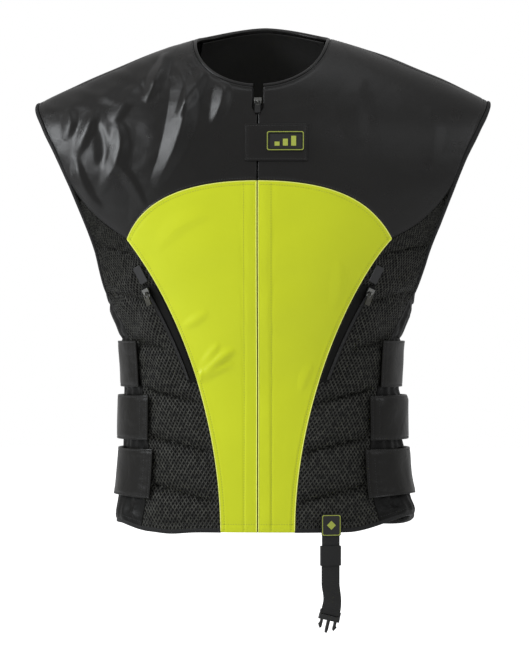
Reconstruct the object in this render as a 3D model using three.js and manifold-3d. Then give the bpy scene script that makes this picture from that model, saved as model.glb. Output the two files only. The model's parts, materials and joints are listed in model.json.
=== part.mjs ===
// Airbag vest: a sleeveless padded vest with short shoulder caps, worn over a riding jacket.
// It is shown filled out, as on a wearer. Millimetres, Z up, X across, the front faces -Y.
// Two walls, front and back, close over the shoulders and round the sides. Every panel, strap and
// tape is a piece of that one shell, so it follows the shell's sizes.
import * as THREE from "three";
import { mergeVertices } from "three/addons/utils/BufferGeometryUtils.js";
import Module from "manifold-3d";

const wasm = await Module();
wasm.setup();

// Driving sizes of the shell
const BODY_HEIGHT = 622; // hem to the crown of the shoulder line
const SHOULDER_HALF = 284; // centre to the tip of a shoulder cap
const SHOULDER_DROP = 94; // crown of the shoulder line to the cap's tip
const SHOULDER_CURVE = 1.6; // power of the shoulder line, 1 being straight
const SHOULDER_ROLL = 150; // height over which a wall leans in to the shoulder line
const FRONT_DEPTH = 122; // centre plane to the chest
const BACK_DEPTH = 116; // centre plane to the shoulder blades
const SQUARENESS = 2.3; // power of the body's oval, 2 being an ellipse
const WALL = 4; // padded panels
const SEAM_INSET = 0.25; // each panel's edge stops this far from its seam
const REST_GAP = 0.5; // between a piece and the panel that it lies on

// Neck and shoulder seam
const NECK_HALF = 85;
const NECK_DROP = 67; // side of the neck to the front neckline
const NECK_BACK = 0.54; // back rim's depth, as a share of the back's
const NECK_RISE = 3; // back rim above the shoulder line's crown
const NECK_EASE = 0.05; // softens the corner where the rim meets the shoulder
const NECK_TRIM = 4; // width of the neck's binding
const SEAM_TURN = 0.17; // how far the shoulder seam lies forward, 1 being the whole roll

// Panels
const ARM_BINDING = 5;
const BINDING_PROUD = 0.8; // bindings stand this far proud of the panels
const UNDERARM = 0.525; // foot of the armhole, as a share of the tip's height
const GUSSET_TOP = 0.548; // height where a side panel's corners meet the armhole, same share
const ARM_JOIN = 0.84; // where the front yoke's lower edge meets the armhole, same share
const BACK_YOKE = 0.8; // back yoke's lower edge, same share
const ZIP_GAP_HALF = 1.5; // half the slit that shows the zip
const ZIP_MOUTH_HALF = 6.5; // half the slit where the slider sits
const ZIP_MOUTH_HEIGHT = 26; // neckline down to where the slit narrows
const ZIP_MOUTH_SLOPE = 9; // height over which it narrows
const RIB_PITCH = 58; // between the quilted seams of the mesh panels
const RIB_DEPTH = 3;
const RIB_SLOPE = 0.25; // the seams fall towards the zip
const LINING = 1.5;
const LINING_GAP = 1.5; // between the lining and the yoke, whose facets differ
const LINING_REACH = 1.1; // how far the lining runs down the back, 1 being the whole roll

// Centre zip
const TAPE_WIDTH = 14;
const TAPE_THICK = 1.2;
const COIL_HALF = 2.5;
const COIL_THICK = 2;
const COIL_CLEARANCE = 0.4;

// Sliders and pulls
const SLIDER_LENGTH = 12;
const SLIDER_HALF = 4.5;
const SLIDER_NOSE_HALF = 2.6;
const SLIDER_BELOW_NECK = 20; // neckline to the slider's pull bar
const SLIDER_PROUD = 1; // slider's face above the fabric
const POCKET_SLIDER_THICK = 2.6;
const BAR = 1.2; // section of the pull's bar
const BAR_CLEARANCE = 0.3;
const BAR_RISE = 2.5; // bar's axis above the slider's face
const BRIDGE_WALL = 0.95;
const BRIDGE_WIDTH = 1.8;
const PULL_HALF = 3.4;
const PULL_LENGTH = 15;
const PULL_EYE_HALF = 1.9;
const PULL_EYE_LENGTH = 4.6;

// Pockets
const WELT_TOP_SHARE = 0.568; // of the tip's height
const WELT_FOOT_SHARE = 0.345;
const WELT_TOP_WIDTH = 18;
const WELT_FOOT_WIDTH = 11;
const WELT_THICK = 1.5;
const WELT_MARGIN = 3; // welt's ends to its coil's
const WELT_COIL_PLACE = 0.75; // share of the welt's width from the bright panel
const WELT_COIL_HALF = 1.8;
const WELT_COIL_THICK = 1.2;
const GARAGE_WIDTH = 11;
const GARAGE_LENGTH = 22;
const GARAGE_THICK = 2.6;
const GARAGE_REST = 0.6; // a flat tab rests this far off the curved panel
const GARAGE_ABOVE_WELT = 3;
const GARAGE_TILT = 24; // degrees, its head leaning away from the zip

// Chest flap with its badge
const FLAP_LEFT = -15;
const FLAP_WIDTH = 76;
const FLAP_HEIGHT = 45;
const FLAP_TOP_BELOW_NECK = 47; // neckline at the zip to the flap's top edge
const FLAP_THICK = 2.8;
const BADGE_WIDTH = 45;
const BADGE_HEIGHT = 23.5;
const BADGE_FROM_RIGHT = 4.5; // flap's right edge to the badge
const BADGE_FROM_TOP = 9.5;
const BADGE_THICK = 2.2;
const BADGE_RIM = 2.2;
const BADGE_CORNER = 3;
const BADGE_REST = 0.5; // a flat badge rests this far off the curved flap

// Side straps, from the top one down
const STRAP_THICK = 3;
const STRAP_REST = 0.7; // a strap's sewn ends above the panels
// top and foot: shares of the cap tip's height. reach: share of the depth from the side to its ends.
// stand: how far it stands off the side panel, as a share of STRAP_STAND.
const STRAP_STAND = 9;
const STRAPS = [
  { top: 0.442, foot: 0.332, reach: 0.6, stand: 0.3 },
  { top: 0.313, foot: 0.209, reach: 0.7, stand: 0.7 },
  { top: 0.189, foot: 0.074, reach: 0.74, stand: 0.5 },
];

// Lanyard: label, webbing, keeper and plug
const LANYARD_X = 88;
const WEB_WIDTH = 22;
const WEB_THICK = 1.6;
const WEB_SEWN = 16; // length of webbing sewn above the hem
const WEB_DROP = 96; // hem to the plug's bar
const WEB_TAIL = 66; // length folded back up behind
const PLUG_TILT = 14; // degrees, its prongs leaning to -X
const LABEL_WIDTH = 24;
const LABEL_HEIGHT = 26;
const LABEL_THICK = 1.8;
const LABEL_ABOVE_HEM = 22;
const LABEL_CORNER = 2;
const KEEPER_TOP_BELOW_HEM = 16;
const KEEPER_HEIGHT = 24;
const KEEPER_WALL = 1.2;
const KEEPER_CLEARANCE = 0.4;
const PLUG_HALF = 12.75;
const PLUG_THICK = 4.5;
const PLUG_BAR = 3;
const PLUG_SLOT = 3.4;
const PLUG_SLOT_HALF = 11.4;
const PLUG_NECK = 6; // thicker block at the root of the prongs
const PLUG_NECK_PROUD = 0.9;
const PRONG_LENGTH = 11;
const GUIDE_HALF = 1.7;
const ARM_HALF = 1.5;
const ARM_PLACE = 8.6; // centre line to a side arm's centre line
const BARB_HALF = 2.9;
const BARB_LENGTH = 7;

const FABRICS = {
  nylon: { color: 0x26262a, roughness: 0.42, metalness: 0 },
  bright: { color: 0xc3d12d, roughness: 0.5, metalness: 0 },
  mesh: { color: 0x1b1b1b, roughness: 0.85, metalness: 0 },
  backing: { color: 0x1e1d1d, roughness: 0.75, metalness: 0 },
  lining: { color: 0x171616, roughness: 0.8, metalness: 0 },
  binding: { color: 0x161616, roughness: 0.6, metalness: 0 },
  strap: { color: 0x2a2828, roughness: 0.55, metalness: 0 },
  webbing: { color: 0x242424, roughness: 0.8, metalness: 0 },
  coil: { color: 0x101010, roughness: 0.5, metalness: 0 },
  metal: { color: 0xb4b4b4, roughness: 0.3, metalness: 1 },
  plastic: { color: 0x141414, roughness: 0.4, metalness: 0 },
  rubber: { color: 0x20211c, roughness: 0.65, metalness: 0 },
};

// Sections of the shell. height: share of the cap tip's height above the hem. outline: share of
// SHOULDER_HALF. spread: how far the wall's own oval runs past the outline, where it is cut for an arm.
// front and back: shares of the two depths.
const SECTIONS = [
  { height: 0, outline: 0.641, spread: 1, front: 0.92, back: 0.93 },
  { height: 0.193, outline: 0.606, spread: 1, front: 0.91, back: 0.88 },
  { height: 0.326, outline: 0.603, spread: 1, front: 0.9, back: 0.86 },
  { height: 0.43, outline: 0.614, spread: 1, front: 0.93, back: 0.89 },
  { height: UNDERARM, outline: 0.662, spread: 1, front: 0.97, back: 0.95 },
  { height: 0.57, outline: 0.69, spread: 1.045, front: 0.98, back: 0.97 },
  { height: 0.655, outline: 0.73, spread: 1.12, front: 1, back: 1 },
  { height: 0.769, outline: 0.81, spread: 1.18, front: 1, back: 1 },
  { height: 0.883, outline: 0.902, spread: 1.22, front: 0.97, back: 0.98 },
  { height: 0.943, outline: 0.958, spread: 1.24, front: 0.95, back: 0.96 },
  { height: 1, outline: 1, spread: 1.25, front: 0.93, back: 0.94 },
  { height: 1.3, outline: 1, spread: 1.25, front: 0.9, back: 0.92 },
];

// Seam between a front or back panel and the side panel. height: as above. across: share of the outline.
const SIDE_SEAM = [
  { height: 0, across: 0.82 },
  { height: 0.12, across: 0.8 },
  { height: 0.33, across: 0.87 },
  { height: 0.43, across: 0.945 },
  { height: 0.5, across: 0.982 },
  { height: GUSSET_TOP, across: 1 },
];

// Soft folds of the front yoke, each from (x, top) to (xFoot, foot). x and xFoot: shares of SHOULDER_HALF.
// top and foot: shares of the cap tip's height. width and rise: shares of SHOULDER_ROLL.
const FOLDS = [
  { x: -0.36, top: 1.05, xFoot: -0.3, foot: 0.95, width: 0.08, rise: 0.035 },
  { x: -0.3, top: 0.95, xFoot: -0.45, foot: 0.8, width: 0.08, rise: 0.04 },
  { x: -0.6, top: 0.92, xFoot: -0.7, foot: 0.79, width: 0.09, rise: 0.035 },
  { x: -0.22, top: 1.04, xFoot: -0.18, foot: 0.96, width: 0.07, rise: 0.02 },
  { x: -0.85, top: 0.98, xFoot: -0.82, foot: 0.82, width: 0.09, rise: 0.02 },
  { x: 0.45, top: 1, xFoot: 0.4, foot: 0.85, width: 0.11, rise: 0.014 },
];

// Rows and columns of the panels. Panels that share a seam share its count.
const SEAM_ROWS = 9;
const ARM_ROWS = 4;
const EDGE_ROWS = SEAM_ROWS + ARM_ROWS;
const ARCH_COLUMNS = 8;
const JOIN_COLUMNS = 5;
const NECK_COLUMNS = 7;
const SHOULDER_COLUMNS = ARCH_COLUMNS + JOIN_COLUMNS - NECK_COLUMNS;
const RIM_COLUMNS = 4;
const YOKE_ROWS = 9;
const SIDE_COLUMNS = 5;

const TIP_HEIGHT = BODY_HEIGHT - SHOULDER_DROP;
const TIP_X = SHOULDER_HALF - ARM_BINDING;

// Small helpers

const sample = (count, make) => Array.from({ length: count + 1 }, (_, k) => make(k / count));
const join = (first, second) => [...first, ...second.slice(1)];
const mix = THREE.MathUtils.lerp;

// A smooth curve through one column of a table, which never overshoots its rows.
function tableCurve(rows, key) {
  const x = rows.map((row) => row.height);
  const y = rows.map((row) => row[key]);
  const slope = x.slice(1).map((_, k) => (y[k + 1] - y[k]) / (x[k + 1] - x[k]));
  const tangent = x.map((_, k) => {
    const [before, after] = [slope[k - 1] ?? slope[k], slope[k] ?? slope[k - 1]];
    return before * after <= 0 ? 0 : (2 * before * after) / (before + after);
  });
  return (share) => {
    const s = THREE.MathUtils.clamp(share, x[0], x[x.length - 1]);
    const k = Math.min(x.length - 2, Math.max(0, x.findIndex((value) => value > s) - 1));
    const at = s >= x[x.length - 1] ? x.length - 2 : k;
    const span = x[at + 1] - x[at];
    const u = (s - x[at]) / span;
    return (
      y[at] * (1 + 2 * u) * (1 - u) ** 2 +
      tangent[at] * span * u * (1 - u) ** 2 +
      y[at + 1] * u * u * (3 - 2 * u) +
      tangent[at + 1] * span * u * u * (u - 1)
    );
  };
}

// The shell

const outlineShare = tableCurve(SECTIONS, "outline");
const spreadShare = tableCurve(SECTIONS, "spread");
const frontShare = tableCurve(SECTIONS, "front");
const backShare = tableCurve(SECTIONS, "back");
const seamShare = tableCurve(SIDE_SEAM, "across");

const outlineAt = (h) => SHOULDER_HALF * outlineShare(h / TIP_HEIGHT);
const ovalHalfAt = (h) => outlineAt(h) * spreadShare(h / TIP_HEIGHT);
const panelEdgeAt = (h) => outlineAt(h) - ARM_BINDING;
const sideSeamAt = (h) => panelEdgeAt(h) * seamShare(h / TIP_HEIGHT);
const depthAt = (face, h) =>
  face < 0 ? FRONT_DEPTH * frontShare(h / TIP_HEIGHT) : BACK_DEPTH * backShare(h / TIP_HEIGHT);

// Height of the shoulder line, which also is the outline's top from the front.
const crestAt = (x) =>
  BODY_HEIGHT - SHOULDER_DROP * (Math.abs(x) / SHOULDER_HALF) ** SHOULDER_CURVE;

// The neck hole's back rim. The back wall aims at a line above the crest there, so that it stands up.
function rimShape(x) {
  const inside = 1 - (x / NECK_HALF) ** 2;
  const eased = (inside + Math.hypot(inside, NECK_EASE)) / 2;
  const over = NECK_BACK * Math.sqrt(eased);
  const rise = NECK_RISE * eased;
  return { over, rise, stand: SHOULDER_ROLL * (1 - Math.sqrt(1 - over * over)) + rise };
}
const aimAt = (face, x) => crestAt(x) + (face > 0 ? rimShape(x).stand : 0);

// A turn runs from 0 at the shoulder line to 1 where the wall stands upright, and on down from there.
const QUARTER = Math.PI / 2;
const dropOfTurn = (turn) =>
  turn < 1
    ? SHOULDER_ROLL * (1 - Math.cos(turn * QUARTER))
    : SHOULDER_ROLL * (1 + (turn - 1) * QUARTER);
const turnOfDrop = (drop) =>
  drop < SHOULDER_ROLL
    ? Math.acos(1 - Math.max(0, drop) / SHOULDER_ROLL) / QUARTER
    : 1 + (drop / SHOULDER_ROLL - 1) / QUARTER;
const turnAt = (face, x, h) => turnOfDrop(aimAt(face, x) - h);
const rimTurnAt = (x) => Math.asin(rimShape(x).over) / QUARTER;

// Squares of the two shapes that make a wall's depth: the oval across, and the roll over the shoulder.
function ovalSquared(x, h) {
  const left = 1 - (Math.abs(x) / ovalHalfAt(h)) ** SQUARENESS;
  return Math.sign(left) * Math.abs(left) ** (2 / SQUARENESS);
}
function rollSquared(face, x, h) {
  const share = Math.min(1, (aimAt(face, x) - h) / SHOULDER_ROLL);
  return 1 - (1 - share) ** 2;
}
const wallDepth = (face, x, h) =>
  depthAt(face, h) * Math.sqrt(Math.max(0, ovalSquared(x, h) * rollSquared(face, x, h)));

// Three ways to name a point of the shell: on a face, round the side, and over the shoulder.
const onFace = (face) => (x, h) => new THREE.Vector3(x, face * wallDepth(face, x, h), h);
const onSide = (side) => (y, h) => {
  const share = Math.min(1, Math.abs(y) / depthAt(Math.sign(y), h));
  const across = (1 - share ** SQUARENESS) ** (1 / SQUARENESS);
  return new THREE.Vector3(side * ovalHalfAt(h) * across, y, h);
};
function overShoulder(x, turn) {
  const face = turn < 0 ? -1 : 1;
  const h = aimAt(face, x) - dropOfTurn(Math.abs(turn));
  return new THREE.Vector3(x, face * wallDepth(face, x, h), h);
}

// Outward normal, from how the shell's equation changes near the point.
const PROBE = 0.05;
function normalAt(point) {
  const face = point.y < 0 ? -1 : 1;
  const level = (x, y, h) =>
    (y / depthAt(face, h)) ** 2 - ovalSquared(x, h) * rollSquared(face, x, h);
  const { x, y, z } = point;
  return new THREE.Vector3(
    level(x + PROBE, y, z) - level(x - PROBE, y, z),
    level(x, y + PROBE, z) - level(x, y - PROBE, z),
    level(x, y, z + PROBE) - level(x, y, z - PROBE),
  ).normalize();
}

// Height of the soft folds above the front yoke.
function foldRise(x, h) {
  let rise = 0;
  for (const fold of FOLDS) {
    const top = new THREE.Vector2(fold.x * SHOULDER_HALF, fold.top * TIP_HEIGHT);
    const foot = new THREE.Vector2(fold.xFoot * SHOULDER_HALF, fold.foot * TIP_HEIGHT);
    const run = foot.clone().sub(top);
    const from = new THREE.Vector2(x, h).sub(top);
    const along = THREE.MathUtils.clamp(from.dot(run) / run.lengthSq(), 0, 1);
    const away = from.sub(run.multiplyScalar(along)).length();
    rise = Math.max(rise, fold.rise * Math.exp(-((away / (fold.width * SHOULDER_ROLL)) ** 2)));
  }
  return rise * SHOULDER_ROLL;
}

// Hollows of the mesh panels along their quilted seams.
function ribHollow(x, h) {
  const along = (h + RIB_SLOPE * (sideSeamAt(h) - Math.abs(x))) / RIB_PITCH;
  return -RIB_DEPTH * Math.abs(Math.cos(Math.PI * along)) ** 4;
}

// Solids

function geometryOf(points, faces) {
  const geometry = new THREE.BufferGeometry();
  geometry.setAttribute(
    "position",
    new THREE.Float32BufferAttribute(points.flatMap((p) => p.toArray()), 3),
  );
  let volume = 0;
  for (let k = 0; k < faces.length; k += 3) {
    const [a, b, c] = [points[faces[k]], points[faces[k + 1]], points[faces[k + 2]]];
    volume += a.dot(b.clone().cross(c));
  }
  geometry.setIndex(volume < 0 ? [...faces].reverse() : faces);
  geometry.computeVertexNormals();
  return geometry;
}

// Draws a sheet's rim in by a distance, towards the next row or column.
function drawnIn(grid, distance) {
  const rows = grid.length - 1;
  const columns = grid[0].length - 1;
  const shift = (from, to) => to.clone().sub(from).setLength(distance);
  return grid.map((row, j) =>
    row.map((point, i) => {
      const moved = point.clone();
      if (j === 0) moved.add(shift(point, grid[1][i]));
      if (j === rows) moved.add(shift(point, grid[rows - 1][i]));
      if (i === 0) moved.add(shift(point, row[1]));
      if (i === columns) moved.add(shift(point, row[columns - 1]));
      return moved;
    }),
  );
}

// Two triangles along the shorter diagonal, so that neighbours' rims fold alike along their seam.
function splitQuad(points, a, b, c, d) {
  const first = points[a].distanceTo(points[c]) <= points[b].distanceTo(points[d]);
  return first ? [a, b, c, a, c, d] : [b, c, d, b, d, a];
}

// A wall between two sheets of points with the same rows and columns.
function closedWall(outer, inner) {
  const rows = outer.length - 1;
  const columns = outer[0].length - 1;
  const points = [...outer.flat(), ...inner.flat()];
  const at = (sheet, j, i) => (sheet * (rows + 1) + j) * (columns + 1) + i;
  const faces = [];
  const quad = (...corners) => faces.push(...splitQuad(points, ...corners));
  for (let j = 0; j < rows; j++)
    for (let i = 0; i < columns; i++) {
      quad(at(0, j, i), at(0, j, i + 1), at(0, j + 1, i + 1), at(0, j + 1, i));
      quad(at(1, j, i), at(1, j + 1, i), at(1, j + 1, i + 1), at(1, j, i + 1));
    }
  for (let i = 0; i < columns; i++) {
    quad(at(1, 0, i), at(1, 0, i + 1), at(0, 0, i + 1), at(0, 0, i));
    quad(at(0, rows, i), at(0, rows, i + 1), at(1, rows, i + 1), at(1, rows, i));
  }
  for (let j = 0; j < rows; j++) {
    quad(at(0, j, 0), at(0, j + 1, 0), at(1, j + 1, 0), at(1, j, 0));
    quad(at(1, j, columns), at(1, j + 1, columns), at(0, j + 1, columns), at(0, j, columns));
  }
  return geometryOf(points, faces);
}

// A piece of the shell inside four edges, which are lists of 2-D points in the chart's own terms.
// outer and inner are its two faces' heights above the shell, or functions of how far across it is.
function shellPiece({ chart, bottom, top, left, right, outer, inner, relief, mirror = 1 }) {
  const columns = bottom.length - 1;
  const rows = left.length - 1;
  const height = (value, u) => (typeof value === "function" ? value(u) : value);
  const blend = (a, b, c, d, u, v, corner) =>
    (1 - v) * a + v * b + (1 - u) * c + u * d - corner(u, v);
  const sheets = [[], []];
  for (let j = 0; j <= rows; j++) {
    const v = j / rows;
    const lines = [[], []];
    for (let i = 0; i <= columns; i++) {
      const u = i / columns;
      const [p, q] = [0, 1].map((k) =>
        blend(bottom[i][k], top[i][k], left[j][k], right[j][k], u, v, (s, t) =>
          (1 - s) * (1 - t) * bottom[0][k] +
          s * (1 - t) * bottom[columns][k] +
          (1 - s) * t * top[0][k] +
          s * t * top[columns][k],
        ),
      );
      const point = chart(p, q);
      const normal = normalAt(point);
      const fade = Math.min(1, 4 * Math.min(u, 1 - u, v, 1 - v));
      const rise = relief ? fade * relief(mirror * point.x, point.z) : 0;
      [outer, inner].forEach((side, k) => {
        const moved = point.clone().addScaledVector(normal, height(side, u) + rise);
        moved.x *= mirror;
        lines[k].push(moved);
      });
    }
    lines.forEach((line, k) => sheets[k].push(line));
  }
  return closedWall(drawnIn(sheets[0], SEAM_INSET), drawnIn(sheets[1], SEAM_INSET));
}

// A bar of one convex section, swept through stations that each give a place and two directions.
function sweptBar(stations, section, closed) {
  const points = stations.flatMap(({ at, across, out }) =>
    section.map(([a, o]) => at.clone().addScaledVector(across, a).addScaledVector(out, o)),
  );
  const sides = section.length;
  const faces = [];
  const spans = closed ? stations.length : stations.length - 1;
  for (let k = 0; k < spans; k++) {
    const [here, next] = [k * sides, ((k + 1) % stations.length) * sides];
    for (let s = 0; s < sides; s++) {
      const t = (s + 1) % sides;
      faces.push(...splitQuad(points, here + s, next + s, next + t, here + t));
    }
  }
  if (!closed) {
    const last = (stations.length - 1) * sides;
    for (let s = 1; s < sides - 1; s++) {
      faces.push(0, s, s + 1);
      faces.push(last, last + s + 1, last + s);
    }
  }
  return geometryOf(points, faces);
}

const rectangle = (a0, a1, o0, o1) => [
  [a0, o0],
  [a1, o0],
  [a1, o1],
  [a0, o1],
];

// Stations along an edge of the shell, whose across direction points to the hole's centre.
function edgeStations(points, closed) {
  const centre = points.reduce((sum, p) => sum.add(p), new THREE.Vector3()).divideScalar(points.length);
  const count = points.length;
  return points.map((at, k) => {
    const before = points[closed ? (k + count - 1) % count : Math.max(0, k - 1)];
    const after = points[closed ? (k + 1) % count : Math.min(count - 1, k + 1)];
    const out = normalAt(at);
    const across = after.clone().sub(before).cross(out).normalize();
    if (across.dot(centre.clone().sub(at)) < 0) across.negate();
    return { at, across, out };
  });
}

const mirrored = (points) => points.map((p) => new THREE.Vector3(-p.x, p.y, p.z));

// Booleans, for the hardware

function solidOf(geometry) {
  const bare = geometry.index ? geometry.toNonIndexed() : geometry.clone();
  bare.deleteAttribute("normal");
  bare.deleteAttribute("uv");
  const merged = mergeVertices(bare, 1e-4);
  return new wasm.Manifold(
    new wasm.Mesh({
      numProp: 3,
      vertProperties: merged.attributes.position.array,
      triVerts: new Uint32Array(merged.index.array),
    }),
  );
}
function geometryOfSolid(solid) {
  const mesh = solid.getMesh();
  const geometry = new THREE.BufferGeometry();
  geometry.setAttribute("position", new THREE.Float32BufferAttribute(mesh.vertProperties, 3));
  geometry.setIndex(Array.from(mesh.triVerts));
  return geometry;
}

function shapeOf(points) {
  const shape = new THREE.Shape();
  points.forEach(([x, y], k) => (k ? shape.lineTo(x, y) : shape.moveTo(x, y)));
  shape.closePath();
  return shape;
}
const extruded = (shape, depth, curveSegments = 6) =>
  new THREE.ExtrudeGeometry(shape, { depth, bevelEnabled: false, curveSegments });

// A rectangle with round corners, centred on (x, y).
function roundedRectangle(width, height, corner, x = 0, y = 0, Kind = THREE.Shape) {
  const [w, h] = [width / 2, height / 2];
  const shape = new Kind();
  shape.moveTo(x - w + corner, y - h);
  shape.lineTo(x + w - corner, y - h);
  shape.absarc(x + w - corner, y - h + corner, corner, -QUARTER, 0);
  shape.lineTo(x + w, y + h - corner);
  shape.absarc(x + w - corner, y + h - corner, corner, 0, QUARTER);
  shape.lineTo(x - w + corner, y + h);
  shape.absarc(x - w + corner, y + h - corner, corner, QUARTER, 2 * QUARTER);
  shape.lineTo(x - w, y - h + corner);
  shape.absarc(x - w + corner, y - h + corner, corner, 2 * QUARTER, 3 * QUARTER);
  return shape;
}

// The assembly

const vest = new THREE.Group();
const garment = new THREE.Group();
const NECK_LEVEL = crestAt(NECK_HALF);
garment.position.z = -NECK_LEVEL; // the origin is the middle of the neck, level with its sides
vest.add(garment);

function addPiece(name, geometry, fabric, parent = garment) {
  const mesh = new THREE.Mesh(geometry, new THREE.MeshStandardMaterial(FABRICS[fabric]));
  mesh.name = name;
  parent.add(mesh);
  return mesh;
}
const SIDES = [
  { side: "left", mirror: -1 },
  { side: "right", mirror: 1 },
];
const TWO_FACES = { outer: 0, inner: -WALL };

// A group whose X, Y and Z run across, up and out of the front panels, at a place on them.
function groupOnFront(x, h, lift, turnDegrees) {
  const at = onFace(-1)(x, h);
  const out = normalAt(at);
  const up = new THREE.Vector3(0, 0, 1).addScaledVector(out, -out.z).normalize();
  up.applyAxisAngle(out, THREE.MathUtils.degToRad(turnDegrees));
  const across = new THREE.Vector3().crossVectors(up, out);
  const group = new THREE.Group();
  group.position.copy(at).addScaledVector(out, lift);
  group.quaternion.setFromRotationMatrix(new THREE.Matrix4().makeBasis(across, up, out));
  garment.add(group);
  return group;
}

// Edges that the panels share, on the +X side

const APEX = { x: 0.568, h: 0.674 }; // shares of SHOULDER_HALF and of the tip's height
const apex = new THREE.Vector2(APEX.x * SHOULDER_HALF, APEX.h * TIP_HEIGHT);
const shared = (x, h) => new THREE.Vector2(x * SHOULDER_HALF, h * TIP_HEIGHT);
const neckFrontHeight = crestAt(NECK_HALF) - NECK_DROP;

const archCurve = new THREE.CubicBezierCurve(
  new THREE.Vector2(ZIP_GAP_HALF, 0.807 * TIP_HEIGHT),
  shared(0.375, 0.807),
  shared(0.51, 0.744),
  apex,
);
const brightEdgeCurve = new THREE.CubicBezierCurve(
  shared(0.16, 0),
  shared(0.16, 0.25),
  shared(0.335, 0.52),
  apex,
);
const joinEnd = new THREE.Vector2(panelEdgeAt(ARM_JOIN * TIP_HEIGHT), ARM_JOIN * TIP_HEIGHT);
const joinCurve = new THREE.CubicBezierCurve(apex, shared(0.665, 0.706), shared(0.79, 0.75), joinEnd);
const listOf = (curve, count) => curve.getPoints(count).map((p) => [p.x, p.y]);

const archEdge = listOf(archCurve, ARCH_COLUMNS);
const brightEdge = listOf(brightEdgeCurve, EDGE_ROWS);
const joinEdge = listOf(joinCurve, JOIN_COLUMNS);
const gussetHeight = GUSSET_TOP * TIP_HEIGHT;
const sideSeam = sample(SEAM_ROWS, (s) => [sideSeamAt(s * gussetHeight), s * gussetHeight]);
const armEdge = (from, to) =>
  sample(ARM_ROWS, (s) => [panelEdgeAt(mix(from, to, s)), mix(from, to, s)]);

// Points of an armhole's upper edge, from a height to the cap's tip, evenly spread by their turn.
function capEdge(face, fromHeight) {
  const start = turnAt(face, panelEdgeAt(fromHeight), fromHeight);
  return sample(YOKE_ROWS, (s) => {
    const turn = start * (1 - s);
    let h = s < 1 ? fromHeight : crestAt(TIP_X);
    for (let step = 0; step < 30; step++) h = aimAt(face, panelEdgeAt(h)) - dropOfTurn(turn);
    return [s < 1 ? panelEdgeAt(h) : TIP_X, face * turn];
  });
}

const seamTurnAt = (x) => {
  const share = (x - NECK_HALF) / (TIP_X - NECK_HALF);
  return rimTurnAt(NECK_HALF) * (1 - share) - SEAM_TURN * Math.sin(Math.PI * share);
};
const shoulderSeam = sample(SHOULDER_COLUMNS, (s) => {
  const x = mix(NECK_HALF, TIP_X, s);
  return [x, s < 1 ? seamTurnAt(x) : 0];
});
const necklineStart = Math.asin(ZIP_MOUTH_HALF / NECK_HALF);
const frontNeckline = sample(NECK_COLUMNS, (s) => {
  const angle = mix(necklineStart, QUARTER, s);
  const x = NECK_HALF * Math.sin(angle);
  const drop = crestAt(x) - (NECK_LEVEL - NECK_DROP * Math.cos(angle));
  return [x, s < 1 ? -turnOfDrop(drop) + rimTurnAt(NECK_HALF) * s ** 8 : rimTurnAt(NECK_HALF)];
});
const backRim = sample(RIM_COLUMNS, (s) => [s * NECK_HALF, rimTurnAt(s * NECK_HALF)]);

// Half the zip's slit: narrow up to the slider, then open to the neckline.
function slitHalfAt(h) {
  const open = THREE.MathUtils.smoothstep(
    h,
    neckFrontHeight - ZIP_MOUTH_HEIGHT - ZIP_MOUTH_SLOPE,
    neckFrontHeight - ZIP_MOUTH_HEIGHT,
  );
  return mix(ZIP_GAP_HALF, ZIP_MOUTH_HALF, open);
}
const asTurns = (face) => ([x, h]) => [x, face * turnAt(face, x, h)];

// Front panels

for (const { side, mirror } of SIDES) {
  const archStart = archEdge[0][1];
  addPiece(
    `bright_panel_${side}`,
    shellPiece({
      chart: onFace(-1),
      bottom: sample(ARCH_COLUMNS, (s) => [mix(ZIP_GAP_HALF, brightEdge[0][0], s), 0]),
      top: archEdge,
      left: sample(EDGE_ROWS, (s) => [ZIP_GAP_HALF, s * archStart]),
      right: brightEdge,
      mirror,
      ...TWO_FACES,
    }),
    "bright",
  );
  addPiece(
    `mesh_panel_${side}`,
    shellPiece({
      chart: onFace(-1),
      bottom: sample(JOIN_COLUMNS, (s) => [mix(brightEdge[0][0], sideSeam[0][0], s), 0]),
      top: joinEdge,
      left: brightEdge,
      right: join(sideSeam, armEdge(gussetHeight, joinEnd.y)),
      relief: ribHollow,
      mirror,
      ...TWO_FACES,
    }),
    "mesh",
  );
  addPiece(
    `front_yoke_${side}`,
    shellPiece({
      chart: overShoulder,
      bottom: join(archEdge, joinEdge).map(asTurns(-1)),
      top: join(frontNeckline, shoulderSeam),
      left: sample(YOKE_ROWS, (s) => {
        const h = mix(archStart, neckFrontHeight, s);
        return s < 1 ? asTurns(-1)([slitHalfAt(h), h]) : frontNeckline[0];
      }),
      right: capEdge(-1, joinEnd.y),
      relief: foldRise,
      mirror,
      ...TWO_FACES,
    }),
    "nylon",
  );
}

// Side panels, from the front seam round to the back one

const gussetEnd = (face) => onFace(face)(panelEdgeAt(gussetHeight), gussetHeight).y;
const underarmArc = sample(SIDE_COLUMNS, (s) => {
  const y = mix(gussetEnd(-1), gussetEnd(1), s);
  const share = y / gussetEnd(Math.sign(y) || 1);
  return [y, mix(UNDERARM * TIP_HEIGHT, gussetHeight, share ** 2)];
});
for (const { side, mirror } of SIDES) {
  const seamOn = (face) => sideSeam.map(([x, h]) => [onFace(face)(x, h).y, h]);
  addPiece(
    `side_panel_${side}`,
    shellPiece({
      chart: onSide(1),
      bottom: sample(SIDE_COLUMNS, (s) => [mix(seamOn(-1)[0][0], seamOn(1)[0][0], s), 0]),
      top: underarmArc,
      left: seamOn(-1),
      right: seamOn(1),
      mirror,
      ...TWO_FACES,
    }),
    "backing",
  );
}

// Back panel, back yoke and the lining that shows in the neck

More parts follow.
